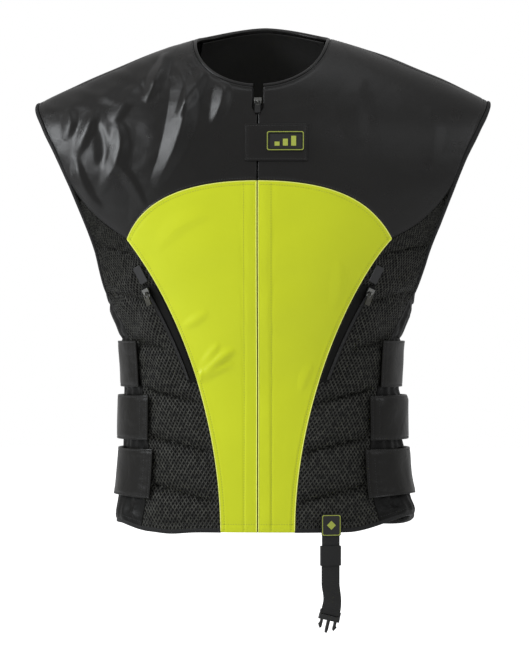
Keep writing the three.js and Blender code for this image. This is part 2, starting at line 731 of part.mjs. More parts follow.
const backYokeHeight = BACK_YOKE * TIP_HEIGHT;
const backEdge = join(sideSeam, armEdge(gussetHeight, backYokeHeight));
const bothWays = (half) => join([...half].reverse().map(([x, v]) => [-x, v]), half);
const halfColumns = RIM_COLUMNS + SHOULDER_COLUMNS;
const yokeLine = bothWays(
  sample(halfColumns, (s) => [s * panelEdgeAt(backYokeHeight), backYokeHeight]),
);
addPiece(
  "back_panel",
  shellPiece({
    chart: onFace(1),
    bottom: bothWays(sample(halfColumns, (s) => [s * backEdge[0][0], 0])),
    top: yokeLine,
    left: backEdge.map(([x, h]) => [-x, h]),
    right: backEdge,
    ...TWO_FACES,
  }),
  "mesh",
);
const backCap = capEdge(1, backYokeHeight);
addPiece(
  "back_yoke",
  shellPiece({
    chart: overShoulder,
    bottom: yokeLine.map(asTurns(1)),
    top: bothWays(join(backRim, shoulderSeam)),
    left: backCap.map(([x, turn]) => [-x, turn]),
    right: backCap,
    ...TWO_FACES,
  }),
  "nylon",
);
const LINING_HALF = 0.94 * NECK_HALF;
const LINING_FOOT_HALF = 1.25 * NECK_HALF;
const LINING_ROWS = 6;
addPiece(
  "neck_lining",
  shellPiece({
    chart: overShoulder,
    bottom: bothWays(sample(RIM_COLUMNS, (s) => [s * LINING_FOOT_HALF, LINING_REACH])),
    top: bothWays(sample(RIM_COLUMNS, (s) => [s * LINING_HALF, rimTurnAt(s * LINING_HALF)])),
    left: sample(LINING_ROWS, (s) => [
      -mix(LINING_FOOT_HALF, LINING_HALF, s),
      mix(LINING_REACH, rimTurnAt(LINING_HALF), s),
    ]),
    right: sample(LINING_ROWS, (s) => [
      mix(LINING_FOOT_HALF, LINING_HALF, s),
      mix(LINING_REACH, rimTurnAt(LINING_HALF), s),
    ]),
    outer: -(WALL + LINING_GAP),
    inner: -(WALL + LINING_GAP + LINING),
  }),
  "lining",
);

// Bindings of the armholes and the neck

const bindingSection = (width) =>
  rectangle(REST_GAP, width, -(WALL + BINDING_PROUD), BINDING_PROUD);
const armholeLoop = [
  ...underarmArc.map(([y, h]) => onSide(1)(y, h)),
  ...armEdge(gussetHeight, backYokeHeight).slice(1).map(([x, h]) => onFace(1)(x, h)),
  ...backCap.slice(1).map(([x, turn]) => overShoulder(x, turn)),
  ...[...capEdge(-1, joinEnd.y)].reverse().slice(1).map(([x, turn]) => overShoulder(x, turn)),
  ...armEdge(gussetHeight, joinEnd.y).reverse().slice(1, -1).map(([x, h]) => onFace(-1)(x, h)),
];
for (const { side, mirror } of SIDES) {
  const stations = edgeStations(
    armholeLoop.map((p) => new THREE.Vector3(mirror * p.x, p.y, p.z)),
    true,
  );
  addPiece(
    `armhole_binding_${side}`,
    sweptBar(stations, bindingSection(ARM_BINDING), true),
    "binding",
  );
}
const neckRight = join(frontNeckline, [...backRim].reverse()).map(([x, turn]) => overShoulder(x, turn));
const neckLoop = join(neckRight, [...mirrored(neckRight)].reverse());
addPiece(
  "neck_binding",
  sweptBar(edgeStations(neckLoop, false), bindingSection(NECK_TRIM), false),
  "binding",
);

// Centre zip: two tapes and a coil behind the panels' edges

const COIL_TOP = neckFrontHeight - SLIDER_BELOW_NECK + SLIDER_LENGTH / 2;
const ZIP_ROWS = 16;
const zipOuter = -(WALL + REST_GAP);
for (const { side, mirror } of SIDES) {
  const innerEdge = (h) => COIL_HALF + COIL_CLEARANCE + (slitHalfAt(h) - ZIP_GAP_HALF) / 2;
  const top = neckFrontHeight - REST_GAP;
  addPiece(
    `zip_tape_${side}`,
    shellPiece({
      chart: onFace(-1),
      bottom: [[innerEdge(0), 0], [TAPE_WIDTH, 0]],
      top: [[innerEdge(top), top], [TAPE_WIDTH, top]],
      left: sample(ZIP_ROWS, (s) => [innerEdge(s * top), s * top]),
      right: sample(ZIP_ROWS, (s) => [TAPE_WIDTH, s * top]),
      outer: zipOuter,
      inner: zipOuter - TAPE_THICK,
      mirror,
    }),
    "webbing",
  );
}
addPiece(
  "zip_coil",
  shellPiece({
    chart: onFace(-1),
    bottom: [[-COIL_HALF, 0], [COIL_HALF, 0]],
    top: [[-COIL_HALF, COIL_TOP], [COIL_HALF, COIL_TOP]],
    left: sample(ZIP_ROWS, (s) => [-COIL_HALF, s * COIL_TOP]),
    right: sample(ZIP_ROWS, (s) => [COIL_HALF, s * COIL_TOP]),
    outer: zipOuter,
    inner: zipOuter - COIL_THICK,
  }),
  "coil",
);

// A slider's body, with a bridge that holds the pull's bar. Z is 0 at its foot.
function sliderGeometry(thick) {
  const half = SLIDER_LENGTH / 2;
  const outline = shapeOf([
    [-SLIDER_NOSE_HALF, -half],
    [SLIDER_NOSE_HALF, -half],
    [SLIDER_HALF, half / 3],
    [SLIDER_HALF, half],
    [-SLIDER_HALF, half],
    [-SLIDER_HALF, half / 3],
  ]);
  const hole = BAR * Math.SQRT1_2 + BAR_CLEARANCE;
  const around = hole + BRIDGE_WALL;
  const bridge = new THREE.Shape();
  bridge.moveTo(-around, -BAR_RISE - BRIDGE_WALL);
  bridge.lineTo(around, -BAR_RISE - BRIDGE_WALL);
  bridge.lineTo(around, 0);
  bridge.absarc(0, 0, around, 0, Math.PI);
  bridge.holes.push(new THREE.Path().absarc(0, 0, hole, 0, 2 * Math.PI));
  const arch = extruded(bridge, BRIDGE_WIDTH);
  arch.translate(0, 0, -BRIDGE_WIDTH / 2);
  arch.applyMatrix4(
    new THREE.Matrix4().makeBasis(
      new THREE.Vector3(0, 1, 0),
      new THREE.Vector3(0, 0, 1),
      new THREE.Vector3(1, 0, 0),
    ),
  );
  arch.translate(0, 0, thick + BAR_RISE);
  return geometryOfSolid(solidOf(extruded(outline, thick)).add(solidOf(arch)));
}

// A pull tab that hangs from its bar, whose axis is X.
function pullGeometry() {
  const middle = (BAR / 2 + PULL_LENGTH) / 2;
  const shape = roundedRectangle(2 * PULL_HALF, PULL_LENGTH + BAR / 2, 1.6, 0, BAR / 2 - middle);
  const eye = roundedRectangle(
    2 * PULL_EYE_HALF,
    PULL_EYE_LENGTH,
    0.4,
    0,
    -BAR / 2 - PULL_EYE_LENGTH / 2,
    THREE.Path,
  );
  shape.holes.push(eye);
  const plate = extruded(shape, BAR, 3);
  plate.translate(0, 0, -BAR / 2);
  return plate;
}

// A pull hangs plumb from its bar, or rests on the fabric where that leans back.
function addSlider(name, group, thick) {
  addPiece(`${name}_slider`, sliderGeometry(thick), "metal", group);
  const pull = addPiece(`${name}_pull`, pullGeometry(), "plastic", group);
  pull.position.z = thick + BAR_RISE;
  const down = new THREE.Vector3(0, 0, -1).applyQuaternion(group.quaternion.clone().invert());
  pull.rotation.x = -Math.max(0, Math.atan2(down.z, -down.y));
}

const zipSliderThick = WALL + SLIDER_PROUD;
addSlider(
  "zip",
  groupOnFront(0, neckFrontHeight - SLIDER_BELOW_NECK, -WALL, 0),
  zipSliderThick,
);

// Pockets: a welt beside the bright panel, with its coil, slider and garage tab

function brightEdgeAt(h) {
  let [low, high] = [0, 1];
  for (let step = 0; step < 30; step++) {
    const middle = (low + high) / 2;
    if (brightEdgeCurve.getPoint(middle).y < h) low = middle;
    else high = middle;
  }
  return brightEdgeCurve.getPoint(low).x;
}
const weltTop = WELT_TOP_SHARE * TIP_HEIGHT;
const weltFoot = WELT_FOOT_SHARE * TIP_HEIGHT;
const weltWidthAt = (h) =>
  mix(WELT_FOOT_WIDTH, WELT_TOP_WIDTH, (h - weltFoot) / (weltTop - weltFoot));
const WELT_ROWS = 8;
const WELT_SET_OFF = 1; // welt's inner edge to the bright panel
const weltLine = (place, from, to) =>
  sample(WELT_ROWS, (s) => {
    const h = mix(from, to, s);
    return [brightEdgeAt(h) + WELT_SET_OFF + place * weltWidthAt(h), h];
  });
const ends = (left, right, k) => [left[k], right[k]];
const stripBetween = (left, right, outer, inner, mirror) =>
  shellPiece({
    chart: onFace(-1),
    bottom: ends(left, right, 0),
    top: ends(left, right, left.length - 1),
    left,
    right,
    outer,
    inner,
    mirror,
  });
const weltFace = REST_GAP + WELT_THICK;
const weltCoilFace = weltFace + REST_GAP + WELT_COIL_THICK;
for (const { side, mirror } of SIDES) {
  addPiece(
    `pocket_welt_${side}`,
    stripBetween(
      weltLine(0, weltFoot, weltTop),
      weltLine(1, weltFoot, weltTop),
      weltFace,
      REST_GAP,
      mirror,
    ),
    "backing",
  );
  const coilMiddle = weltLine(WELT_COIL_PLACE, weltFoot + WELT_MARGIN, weltTop - WELT_MARGIN);
  addPiece(
    `pocket_coil_${side}`,
    stripBetween(
      coilMiddle.map(([x, h]) => [x - WELT_COIL_HALF, h]),
      coilMiddle.map(([x, h]) => [x + WELT_COIL_HALF, h]),
      weltCoilFace,
      weltFace + REST_GAP,
      mirror,
    ),
    "coil",
  );
  const sliderHeight = weltTop - 0.7 * SLIDER_LENGTH;
  const sliderX = mirror * weltLine(WELT_COIL_PLACE, sliderHeight, sliderHeight)[0][0];
  addSlider(
    `pocket_${side}`,
    groupOnFront(sliderX, sliderHeight, weltCoilFace + REST_GAP, -mirror * GARAGE_TILT),
    POCKET_SLIDER_THICK,
  );
  const tilt = THREE.MathUtils.degToRad(GARAGE_TILT);
  const reach = (weltTop + GARAGE_ABOVE_WELT - sliderHeight) / Math.cos(tilt) + GARAGE_LENGTH / 2;
  const garage = groupOnFront(
    sliderX + mirror * reach * Math.sin(tilt),
    sliderHeight + reach * Math.cos(tilt),
    GARAGE_REST,
    -mirror * GARAGE_TILT,
  );
  addPiece(
    `pocket_garage_${side}`,
    extruded(roundedRectangle(GARAGE_WIDTH, GARAGE_LENGTH, 1.5), GARAGE_THICK, 2),
    "backing",
    garage,
  );
}

// Chest flap over the zip, with a framed badge

const flapTop = neckFrontHeight - FLAP_TOP_BELOW_NECK;
const flapRight = FLAP_LEFT + FLAP_WIDTH;
const flapFoot = flapTop - FLAP_HEIGHT;
const FLAP_COLUMNS = 10;
addPiece(
  "chest_flap",
  shellPiece({
    chart: onFace(-1),
    bottom: sample(FLAP_COLUMNS, (s) => [mix(FLAP_LEFT, flapRight, s), flapFoot]),
    top: sample(FLAP_COLUMNS, (s) => [mix(FLAP_LEFT, flapRight, s), flapTop]),
    left: sample(4, (s) => [FLAP_LEFT, mix(flapFoot, flapTop, s)]),
    right: sample(4, (s) => [flapRight, mix(flapFoot, flapTop, s)]),
    outer: REST_GAP + FLAP_THICK,
    inner: REST_GAP,
  }),
  "nylon",
);
const badge = groupOnFront(
  flapRight - BADGE_FROM_RIGHT - BADGE_WIDTH / 2,
  flapTop - BADGE_FROM_TOP - BADGE_HEIGHT / 2,
  REST_GAP + FLAP_THICK + BADGE_REST,
  0,
);
const badgeShape = roundedRectangle(BADGE_WIDTH, BADGE_HEIGHT, BADGE_CORNER);
badgeShape.holes.push(
  roundedRectangle(
    BADGE_WIDTH - 2 * BADGE_RIM,
    BADGE_HEIGHT - 2 * BADGE_RIM,
    BADGE_CORNER / 2,
    0,
    0,
    THREE.Path,
  ),
);
addPiece("badge_rim", extruded(badgeShape, BADGE_THICK, 3), "rubber", badge);
const badgeFace = roundedRectangle(
  BADGE_WIDTH - 2 * (BADGE_RIM + REST_GAP),
  BADGE_HEIGHT - 2 * (BADGE_RIM + REST_GAP),
  BADGE_CORNER / 3,
);
addPiece("badge_face", extruded(badgeFace, BADGE_THICK * 0.6, 3), "rubber", badge);

// Side straps, sewn to the front and back panels and standing off the side panels between

const STRAP_COLUMNS = 12;
const STRAP_ROWS = 2;
STRAPS.forEach((strap, index) => {
  const top = strap.top * TIP_HEIGHT;
  const foot = strap.foot * TIP_HEIGHT;
  const place = (s, h) => {
    const y = mix(-strap.reach * depthAt(-1, h), strap.reach * depthAt(1, h), s);
    return [y, h];
  };
  const stand = (u) => STRAP_REST + STRAP_STAND * strap.stand * Math.sin(Math.PI * u) ** 0.8;
  for (const { side, mirror } of SIDES)
    addPiece(
      `side_strap_${side}_${index + 1}`,
      shellPiece({
        chart: onSide(1),
        bottom: sample(STRAP_COLUMNS, (s) => place(s, foot)),
        top: sample(STRAP_COLUMNS, (s) => place(s, top)),
        left: sample(STRAP_ROWS, (s) => place(0, mix(foot, top, s))),
        right: sample(STRAP_ROWS, (s) => place(1, mix(foot, top, s))),
        outer: (u) => stand(u) + STRAP_THICK,
        inner: stand,
        mirror,
      }),
      "strap",
    );
});

// Lanyard: webbing sewn to the hem, folded round the plug's bar and back up through the keeper

const webAt = onFace(-1)(LANYARD_X, 0);
const webOut = normalAt(webAt).setZ(0).normalize();
const webAcross = new THREE.Vector3(0, 0, 1).cross(webOut);
const webFront = REST_GAP + WEB_THICK / 2;
const foldRadius = PLUG_THICK / 2 + REST_GAP + WEB_THICK / 2;
const lanyard = new THREE.Group();
lanyard.position.copy(webAt);
lanyard.quaternion.setFromRotationMatrix(
  new THREE.Matrix4().makeBasis(webAcross, new THREE.Vector3(0, 0, 1), webOut),
);
garment.add(lanyard);

// A station of the webbing, at a place above its fold, behind or before it, and turned by an angle.
const TILT = THREE.MathUtils.degToRad(PLUG_TILT);
const TWIST_LENGTH = 34; // length over which the webbing leans with the plug
function webStation(above, out, bend) {
  const lean = TILT * (1 - THREE.MathUtils.smoothstep(above, 0, TWIST_LENGTH));
  const across = new THREE.Vector3(Math.cos(lean), -Math.sin(lean), 0);
  const up = new THREE.Vector3(Math.sin(lean), Math.cos(lean), 0);
  const at = new THREE.Vector3(0, -WEB_DROP, 0).addScaledVector(up, above);
  at.z = out;
  return { at, across, out: up.multiplyScalar(-Math.sin(bend)).setZ(Math.cos(bend)) };
}
const NECKING = 16; // height over which the two layers close up above the plug
const layerOut = (above) =>
  mix(foldRadius, WEB_THICK / 2 + REST_GAP / 2, THREE.MathUtils.smoothstep(above, 2, NECKING));
const webMiddle = webFront - WEB_THICK / 2 - REST_GAP / 2;
const runHeights = [2, 6, 11, NECKING, 24, 34, 46, 56, WEB_TAIL];
const webStations = [
  webStation(WEB_DROP + WEB_SEWN, webFront, 0),
  webStation(WEB_DROP, webFront, 0),
  webStation(WEB_DROP - 10, webFront, 0),
  ...[...runHeights].reverse().map((above) => webStation(above, webMiddle + layerOut(above), 0)),
  ...sample(6, (s) => {
    const bend = Math.PI * s;
    const station = webStation(-foldRadius * Math.sin(bend), 0, bend);
    station.at.z = webMiddle + foldRadius * Math.cos(bend);
    return station;
  }),
  ...runHeights.map((above) => webStation(above, webMiddle - layerOut(above), Math.PI)),
];
addPiece(
  "lanyard_web",
  sweptBar(
    webStations,
    rectangle(-WEB_WIDTH / 2, WEB_WIDTH / 2, -WEB_THICK / 2, WEB_THICK / 2),
    false,
  ),
  "webbing",
  lanyard,
);

const label = new THREE.Group();
label.position.set(0, LABEL_ABOVE_HEM - LABEL_HEIGHT / 2, REST_GAP + WEB_THICK + REST_GAP);
lanyard.add(label);
addPiece(
  "lanyard_label",
  extruded(roundedRectangle(LABEL_WIDTH, LABEL_HEIGHT, LABEL_CORNER), LABEL_THICK, 3),
  "rubber",
  label,
);

const keeperInside = [WEB_WIDTH + 2 * KEEPER_CLEARANCE, 2 * WEB_THICK + REST_GAP + 2 * KEEPER_CLEARANCE];
const keeperShape = roundedRectangle(
  keeperInside[0] + 2 * KEEPER_WALL,
  keeperInside[1] + 2 * KEEPER_WALL,
  KEEPER_WALL,
);
keeperShape.holes.push(roundedRectangle(...keeperInside, KEEPER_WALL / 4, 0, 0, THREE.Path));
const keeper = new THREE.Group();
keeper.position.set(0, -KEEPER_TOP_BELOW_HEM, webMiddle);
keeper.rotation.x = QUARTER;
lanyard.add(keeper);
addPiece("lanyard_keeper", extruded(keeperShape, KEEPER_HEIGHT, 2), "webbing", keeper);

// The plug: a bar and slot for the webbing, a neck, two barbed arms and a guide between them.
// Y is 0 at the bar's middle and runs down to the prongs' tips.
function plugGeometry() {
  const shoulder = -(PLUG_BAR / 2 + PLUG_SLOT + PLUG_NECK);
  const tip = shoulder - PRONG_LENGTH;
  const barbRoot = tip + BARB_LENGTH;
  const armIn = ARM_PLACE - ARM_HALF;
  const armOut = ARM_PLACE + ARM_HALF;
  const half = [
    [GUIDE_HALF, shoulder],
    [GUIDE_HALF, tip],
    [GUIDE_HALF / 2, tip - 4],
  ];
  const arm = [
    [PLUG_HALF, shoulder],
    [armOut, shoulder],
    [armOut, barbRoot],
    [ARM_PLACE + BARB_HALF, barbRoot - 2],
    [ARM_PLACE + BARB_HALF - 1, tip + 3],
    [ARM_PLACE, tip],
    [armIn, tip + 2],
    [armIn, shoulder],
  ];
  const rightSide = [[PLUG_HALF, PLUG_BAR / 2], ...arm, ...half];
  const shape = shapeOf([...rightSide, ...rightSide.map(([x, y]) => [-x, y]).reverse()]);
  shape.holes.push(
    roundedRectangle(
      2 * PLUG_SLOT_HALF,
      PLUG_SLOT,
      0.6,
      0,
      -(PLUG_BAR + PLUG_SLOT) / 2,
      THREE.Path,
    ),
  );
  const body = extruded(shape, PLUG_THICK, 2);
  body.translate(0, 0, -PLUG_THICK / 2);
  const neckThick = PLUG_THICK + 2 * PLUG_NECK_PROUD;
  const neck = extruded(
    roundedRectangle(2 * PLUG_HALF, PLUG_NECK, 0.4, 0, shoulder + PLUG_NECK / 2),
    neckThick,
    2,
  );
  neck.translate(0, 0, -neckThick / 2);
  return geometryOfSolid(solidOf(body).add(solidOf(neck)));
}
const plug = new THREE.Group();
plug.position.set(0, -WEB_DROP, webMiddle);
plug.rotation.z = -TILT;
lanyard.add(plug);
addPiece("lanyard_plug", plugGeometry(), "plastic", plug);

export default vest;
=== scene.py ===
"""Looks of the airbag vest: its padded shell drawn again finely, with folds, seams, stitches and cloth."""

import json
import math
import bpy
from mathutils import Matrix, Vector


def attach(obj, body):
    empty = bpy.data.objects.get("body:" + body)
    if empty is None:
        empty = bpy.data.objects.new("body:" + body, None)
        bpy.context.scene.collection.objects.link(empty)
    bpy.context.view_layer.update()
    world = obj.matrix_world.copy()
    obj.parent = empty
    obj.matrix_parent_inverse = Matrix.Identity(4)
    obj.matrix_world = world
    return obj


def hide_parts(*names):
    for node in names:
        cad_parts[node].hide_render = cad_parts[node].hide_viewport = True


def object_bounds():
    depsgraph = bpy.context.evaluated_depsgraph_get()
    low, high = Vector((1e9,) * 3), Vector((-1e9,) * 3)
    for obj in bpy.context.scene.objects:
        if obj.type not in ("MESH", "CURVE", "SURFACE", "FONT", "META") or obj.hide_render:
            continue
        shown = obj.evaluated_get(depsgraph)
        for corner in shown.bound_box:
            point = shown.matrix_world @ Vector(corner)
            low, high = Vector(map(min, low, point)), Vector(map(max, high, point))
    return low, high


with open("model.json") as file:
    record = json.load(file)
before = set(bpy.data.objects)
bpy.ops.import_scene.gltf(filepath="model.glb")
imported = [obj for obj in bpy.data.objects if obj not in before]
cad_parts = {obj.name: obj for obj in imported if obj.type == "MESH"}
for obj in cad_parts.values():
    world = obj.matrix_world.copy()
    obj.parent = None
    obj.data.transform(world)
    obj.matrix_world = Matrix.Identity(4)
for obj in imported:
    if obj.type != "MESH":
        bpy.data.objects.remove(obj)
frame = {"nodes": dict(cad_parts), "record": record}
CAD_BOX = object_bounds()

from types import SimpleNamespace

import bmesh
import bpy
import numpy as np
from mathutils import Matrix, Vector

MM = 0.001
BODY = "vest"

# Sizes of the shell in millimetres, as in the part's source
BODY_HEIGHT = 622
SHOULDER_HALF = 284
SHOULDER_DROP = 94
SHOULDER_CURVE = 1.6
SHOULDER_ROLL = 150
FRONT_DEPTH = 122
BACK_DEPTH = 116
SQUARENESS = 2.3
WALL = 4
SEAM_INSET = 0.25
REST_GAP = 0.5
NECK_HALF = 85
NECK_DROP = 67
NECK_BACK = 0.54
NECK_RISE = 3
NECK_EASE = 0.05
NECK_TRIM = 4
SEAM_TURN = 0.17
ARM_BINDING = 5
BINDING_PROUD = 0.8
UNDERARM = 0.525
GUSSET_TOP = 0.548
ARM_JOIN = 0.84
BACK_YOKE = 0.8
ZIP_LIP_HALF = 0.6
ZIP_MOUTH_HALF = 6.5
ZIP_MOUTH_HEIGHT = 26
ZIP_MOUTH_SLOPE = 9
RIB_PITCH = 58
RIB_DEPTH = 3
RIB_SLOPE = 0.25
LINING = 1.5
LINING_GAP = 1.5
LINING_REACH = 1.1
TAPE_WIDTH = 14
TAPE_THICK = 1.2
COIL_HALF = 2.5
COIL_THICK = 2
COIL_CLEARANCE = 0.4
SLIDER_LENGTH = 12
SLIDER_BELOW_NECK = 20
WELT_TOP_SHARE = 0.568
WELT_FOOT_SHARE = 0.345
WELT_TOP_WIDTH = 18
WELT_FOOT_WIDTH = 11
WELT_THICK = 1.5
WELT_MARGIN = 3
WELT_SET_OFF = 1
WELT_COIL_PLACE = 0.75
WELT_COIL_HALF = 1.8
WELT_COIL_THICK = 1.2
FLAP_LEFT = -15
FLAP_WIDTH = 76
FLAP_HEIGHT = 45
FLAP_TOP_BELOW_NECK = 47
FLAP_THICK = 2.8
STRAP_THICK = 3
STRAP_REST = 2.6
STRAP_STAND = 9
LANYARD_X = 88
WEB_WIDTH = 22
WEB_THICK = 1.6
WEB_SEWN = 16
WEB_DROP = 96
WEB_TAIL = 66
PLUG_TILT = 14
PLUG_THICK = 4.5
TWIST_LENGTH = 34
NECKING = 16
SLOT_SLACK = 0.5

TIP_HEIGHT = BODY_HEIGHT - SHOULDER_DROP
TIP_X = SHOULDER_HALF - ARM_BINDING
QUARTER = math.pi / 2

# height: share of the cap tip's height. outline: share of SHOULDER_HALF. spread: the oval's share of
# the outline. front and back: shares of the two depths.
SECTION_COLUMNS = ("height", "outline", "spread", "front", "back")
SECTIONS = (
    (0, 0.641, 1, 0.92, 0.93),
    (0.193, 0.606, 1, 0.91, 0.88),
    (0.326, 0.603, 1, 0.9, 0.86),
    (0.43, 0.614, 1, 0.93, 0.89),
    (UNDERARM, 0.662, 1, 0.97, 0.95),
    (0.57, 0.69, 1.045, 0.98, 0.97),
    (0.655, 0.73, 1.12, 1, 1),
    (0.769, 0.81, 1.18, 1, 1),
    (0.883, 0.902, 1.22, 0.97, 0.98),
    (0.943, 0.958, 1.24, 0.95, 0.96),
    (1, 1, 1.25, 0.93, 0.94),
    (1.3, 1, 1.25, 0.9, 0.92),
)
# height: as above. across: share of the outline.
SIDE_SEAM = ((0, 0.82), (0.12, 0.8), (0.33, 0.87), (0.43, 0.945), (0.5, 0.982), (GUSSET_TOP, 1))
# top and foot: shares of the tip's height. reach: share of the depth. stand: share of STRAP_STAND.
STRAPS = (
    {"top": 0.442, "foot": 0.332, "reach": 0.6, "stand": 0.3},
    {"top": 0.313, "foot": 0.209, "reach": 0.7, "stand": 0.7},
    {"top": 0.189, "foot": 0.074, "reach": 0.74, "stand": 0.5},
)

# Shares of each joined edge at which its corner falls
ARCH_SHARE = 8 / 13
NECK_SHARE = 7 / 13
SEAM_SHARE = 9 / 13
RIM_SHARE = 4 / 10


# The shell's shape


def mix(a, b, s):
    return a + (b - a) * s


def smoothstep(x, low, high):
    t = np.clip((x - low) / (high - low), 0, 1)
    return t * t * (3 - 2 * t)


def table_curve(heights, values):
    """A smooth curve through one column of a table, which never overshoots its rows."""
    x, y = np.array(heights, float), np.array(values, float)
    slope = np.diff(y) / np.diff(x)
    before, after = np.r_[slope[0], slope], np.r_[slope, slope[-1]]
    same = before * after > 0
    tangent = np.where(same, 2 * before * after / np.where(same, before + after, 1), 0)

    def curve(share):
        s = np.clip(share, x[0], x[-1])
        k = np.clip(np.searchsorted(x, s, side="right") - 1, 0, len(x) - 2)
        span = x[k + 1] - x[k]
        u = (s - x[k]) / span
        low = y[k] * (1 + 2 * u) * (1 - u) ** 2 + tangent[k] * span * u * (1 - u) ** 2
        high = y[k + 1] * u * u * (3 - 2 * u) + tangent[k + 1] * span * u * u * (u - 1)
        return low + high

    return curve


SECTION = {
    name: table_curve([row[0] for row in SECTIONS], [row[k] for row in SECTIONS])
    for k, name in enumerate(SECTION_COLUMNS)
}
seam_share = table_curve(*zip(*SIDE_SEAM))


def outline_at(h):
    return SHOULDER_HALF * SECTION["outline"](h / TIP_HEIGHT)


def oval_half_at(h):
    return outline_at(h) * SECTION["spread"](h / TIP_HEIGHT)


def panel_edge_at(h):
    return outline_at(h) - ARM_BINDING


def side_seam_at(h):
    return panel_edge_at(h) * seam_share(h / TIP_HEIGHT)


def depth_at(face, h):
    share = h / TIP_HEIGHT
    return np.where(face < 0, FRONT_DEPTH * SECTION["front"](share), BACK_DEPTH * SECTION["back"](share))


def crest_at(x):
    return BODY_HEIGHT - SHOULDER_DROP * (np.abs(x) / SHOULDER_HALF) ** SHOULDER_CURVE


def rim_shape(x):
    """The back rim's lean (a share of the depth) and its rise over the shoulder line."""
    inside = 1 - (x / NECK_HALF) ** 2
    eased = (inside + np.hypot(inside, NECK_EASE)) / 2
    over = NECK_BACK * np.sqrt(eased)
    return over, SHOULDER_ROLL * (1 - np.sqrt(1 - over * over)) + NECK_RISE * eased


def aim_at(face, x):
    return crest_at(x) + np.where(face > 0, rim_shape(x)[1], 0)


def rim_turn_at(x):
    return np.arcsin(rim_shape(x)[0]) / QUARTER


def drop_of_turn(turn):
    rolled = 1 - np.cos(np.minimum(turn, 1) * QUARTER)
    return SHOULDER_ROLL * (rolled + np.maximum(turn - 1, 0) * QUARTER)


def turn_of_drop(drop):
    share = np.maximum(drop, 0) / SHOULDER_ROLL
    return np.arccos(1 - np.minimum(share, 1)) / QUARTER + np.maximum(share - 1, 0) / QUARTER


def oval_squared(x, h):
    left = 1 - (np.abs(x) / oval_half_at(h)) ** SQUARENESS
    return np.sign(left) * np.abs(left) ** (2 / SQUARENESS)


def roll_squared(face, x, h):
    share = np.minimum(1, (aim_at(face, x) - h) / SHOULDER_ROLL)
    return 1 - (1 - share) ** 2


def wall_depth(face, x, h):
    return depth_at(face, h) * np.sqrt(np.maximum(0, oval_squared(x, h) * roll_squared(face, x, h)))


def on_face(face):
    return lambda p: np.stack([p[..., 0], face * wall_depth(face, p[..., 0], p[..., 1]), p[..., 1]], -1)


def on_side(p):
    y, h = p[..., 0], p[..., 1]
    share = np.minimum(1, np.abs(y) / depth_at(np.sign(y), h))
    across = (1 - share**SQUARENESS) ** (1 / SQUARENESS)
    return np.stack([oval_half_at(h) * across, y, h], -1)


def over_shoulder(p):
    x, turn = p[..., 0], p[..., 1]
    face = np.where(turn < 0, -1, 1)
    h = aim_at(face, x) - drop_of_turn(np.abs(turn))
    return np.stack([x, face * wall_depth(face, x, h), h], -1)


PROBE = 0.05


def shell_normal(points):
    """Outward normals, from how the shell's equation changes near each point."""
    face = np.where(points[..., 1] < 0, -1, 1)

    def level(shift):
        x, y, h = np.moveaxis(points + shift, -1, 0)
        return (y / depth_at(face, h)) ** 2 - oval_squared(x, h) * roll_squared(face, x, h)

    gradient = np.stack([level(step) - level(-step) for step in PROBE * np.eye(3)], -1)
    return gradient / np.linalg.norm(gradient, axis=-1, keepdims=True)


NECK_LEVEL = float(crest_at(NECK_HALF))
NECK_FRONT = NECK_LEVEL - NECK_DROP

# How unevenly the worn vest settles. The solids are even.
HEM_RISE_RIGHT = 22
HEM_RISE_LEFT = 9
HEM_FLARE = 7
HEM_SAG = 2.5
HEM_REACH = 32
NECK_LIFT = 1.6
CAP_DROP = 2.4
HEM_START_RIGHT = (108, 200)
HEM_START_LEFT = (135, 185)
SIDE_START = (142, 190)
# (height above the hem, move towards +X) at each side
RIGHT_SHIFT = (
    (44, 3), (100, 2), (110, -1), (160, -1), (172, -5.5), (236, -5.5), (262, -2), (290, 0), (330, 3.5),
    (378, 5), (420, 4), (460, 2), (520, 1), (600, 0),
)
LEFT_SHIFT = ((0, 0), (50, 1.5), (230, 2.5), (246, 0), (270, -3), (300, -1.5), (340, 1), (420, 1.5), (480, 0))


def settled(points):
    """Points moved as the worn vest hangs: its hem, its two sides, its neck and its left cap."""
    x, y, h = np.moveaxis(np.asarray(points, float), -1, 0)
    near = np.exp(-((np.maximum(h, 0) / HEM_REACH) ** 2)) * smoothstep(-y, -70, 50) * (h > -4)
    right, left = smoothstep(x, *HEM_START_RIGHT), smoothstep(-x, *HEM_START_LEFT)
    rise = HEM_RISE_RIGHT * right + HEM_RISE_LEFT * left - HEM_SAG * np.exp(-(((x + 108) / 22) ** 2))
    shift = smoothstep(x, *SIDE_START) * np.interp(h, *zip(*RIGHT_SHIFT))
    shift = shift + smoothstep(-x, *SIDE_START) * np.interp(h, *zip(*LEFT_SHIFT))
    lift = NECK_LIFT * np.exp(-((x / 110) ** 2)) * smoothstep(h, 570, 612) * (y > 0)
    lift = lift - CAP_DROP * np.exp(-(((x + 205) / 60) ** 2)) * smoothstep(h, 490, 560)
    return np.stack([x + near * HEM_FLARE * right + shift, y, h + near * rise + lift], -1)


def placed(points):
    """Millimetres above the hem to metres in the frame, whose origin is the neck."""
    return (settled(points) - (0, 0, NECK_LEVEL)) * MM


# Edges of the panels, each a function of the share of its length


def bezier(*corners):
    p = np.array(corners, float)

    def edge(s):
        s = np.asarray(s, float)[..., None]
        return p[0] * (1 - s) ** 3 + 3 * p[1] * s * (1 - s) ** 2 + 3 * p[2] * s * s * (1 - s) + p[3] * s**3

    return edge


def straight(start, end):
    return lambda s: mix(np.array(start, float), np.array(end, float), np.asarray(s, float)[..., None])


def joined(first, second, share):
    def edge(s):
        s = np.asarray(s, float)
        low = first(np.clip(s / share, 0, 1))
        high = second(np.clip((s - share) / (1 - share), 0, 1))
        return np.where((s <= share)[..., None], low, high)

    return edge


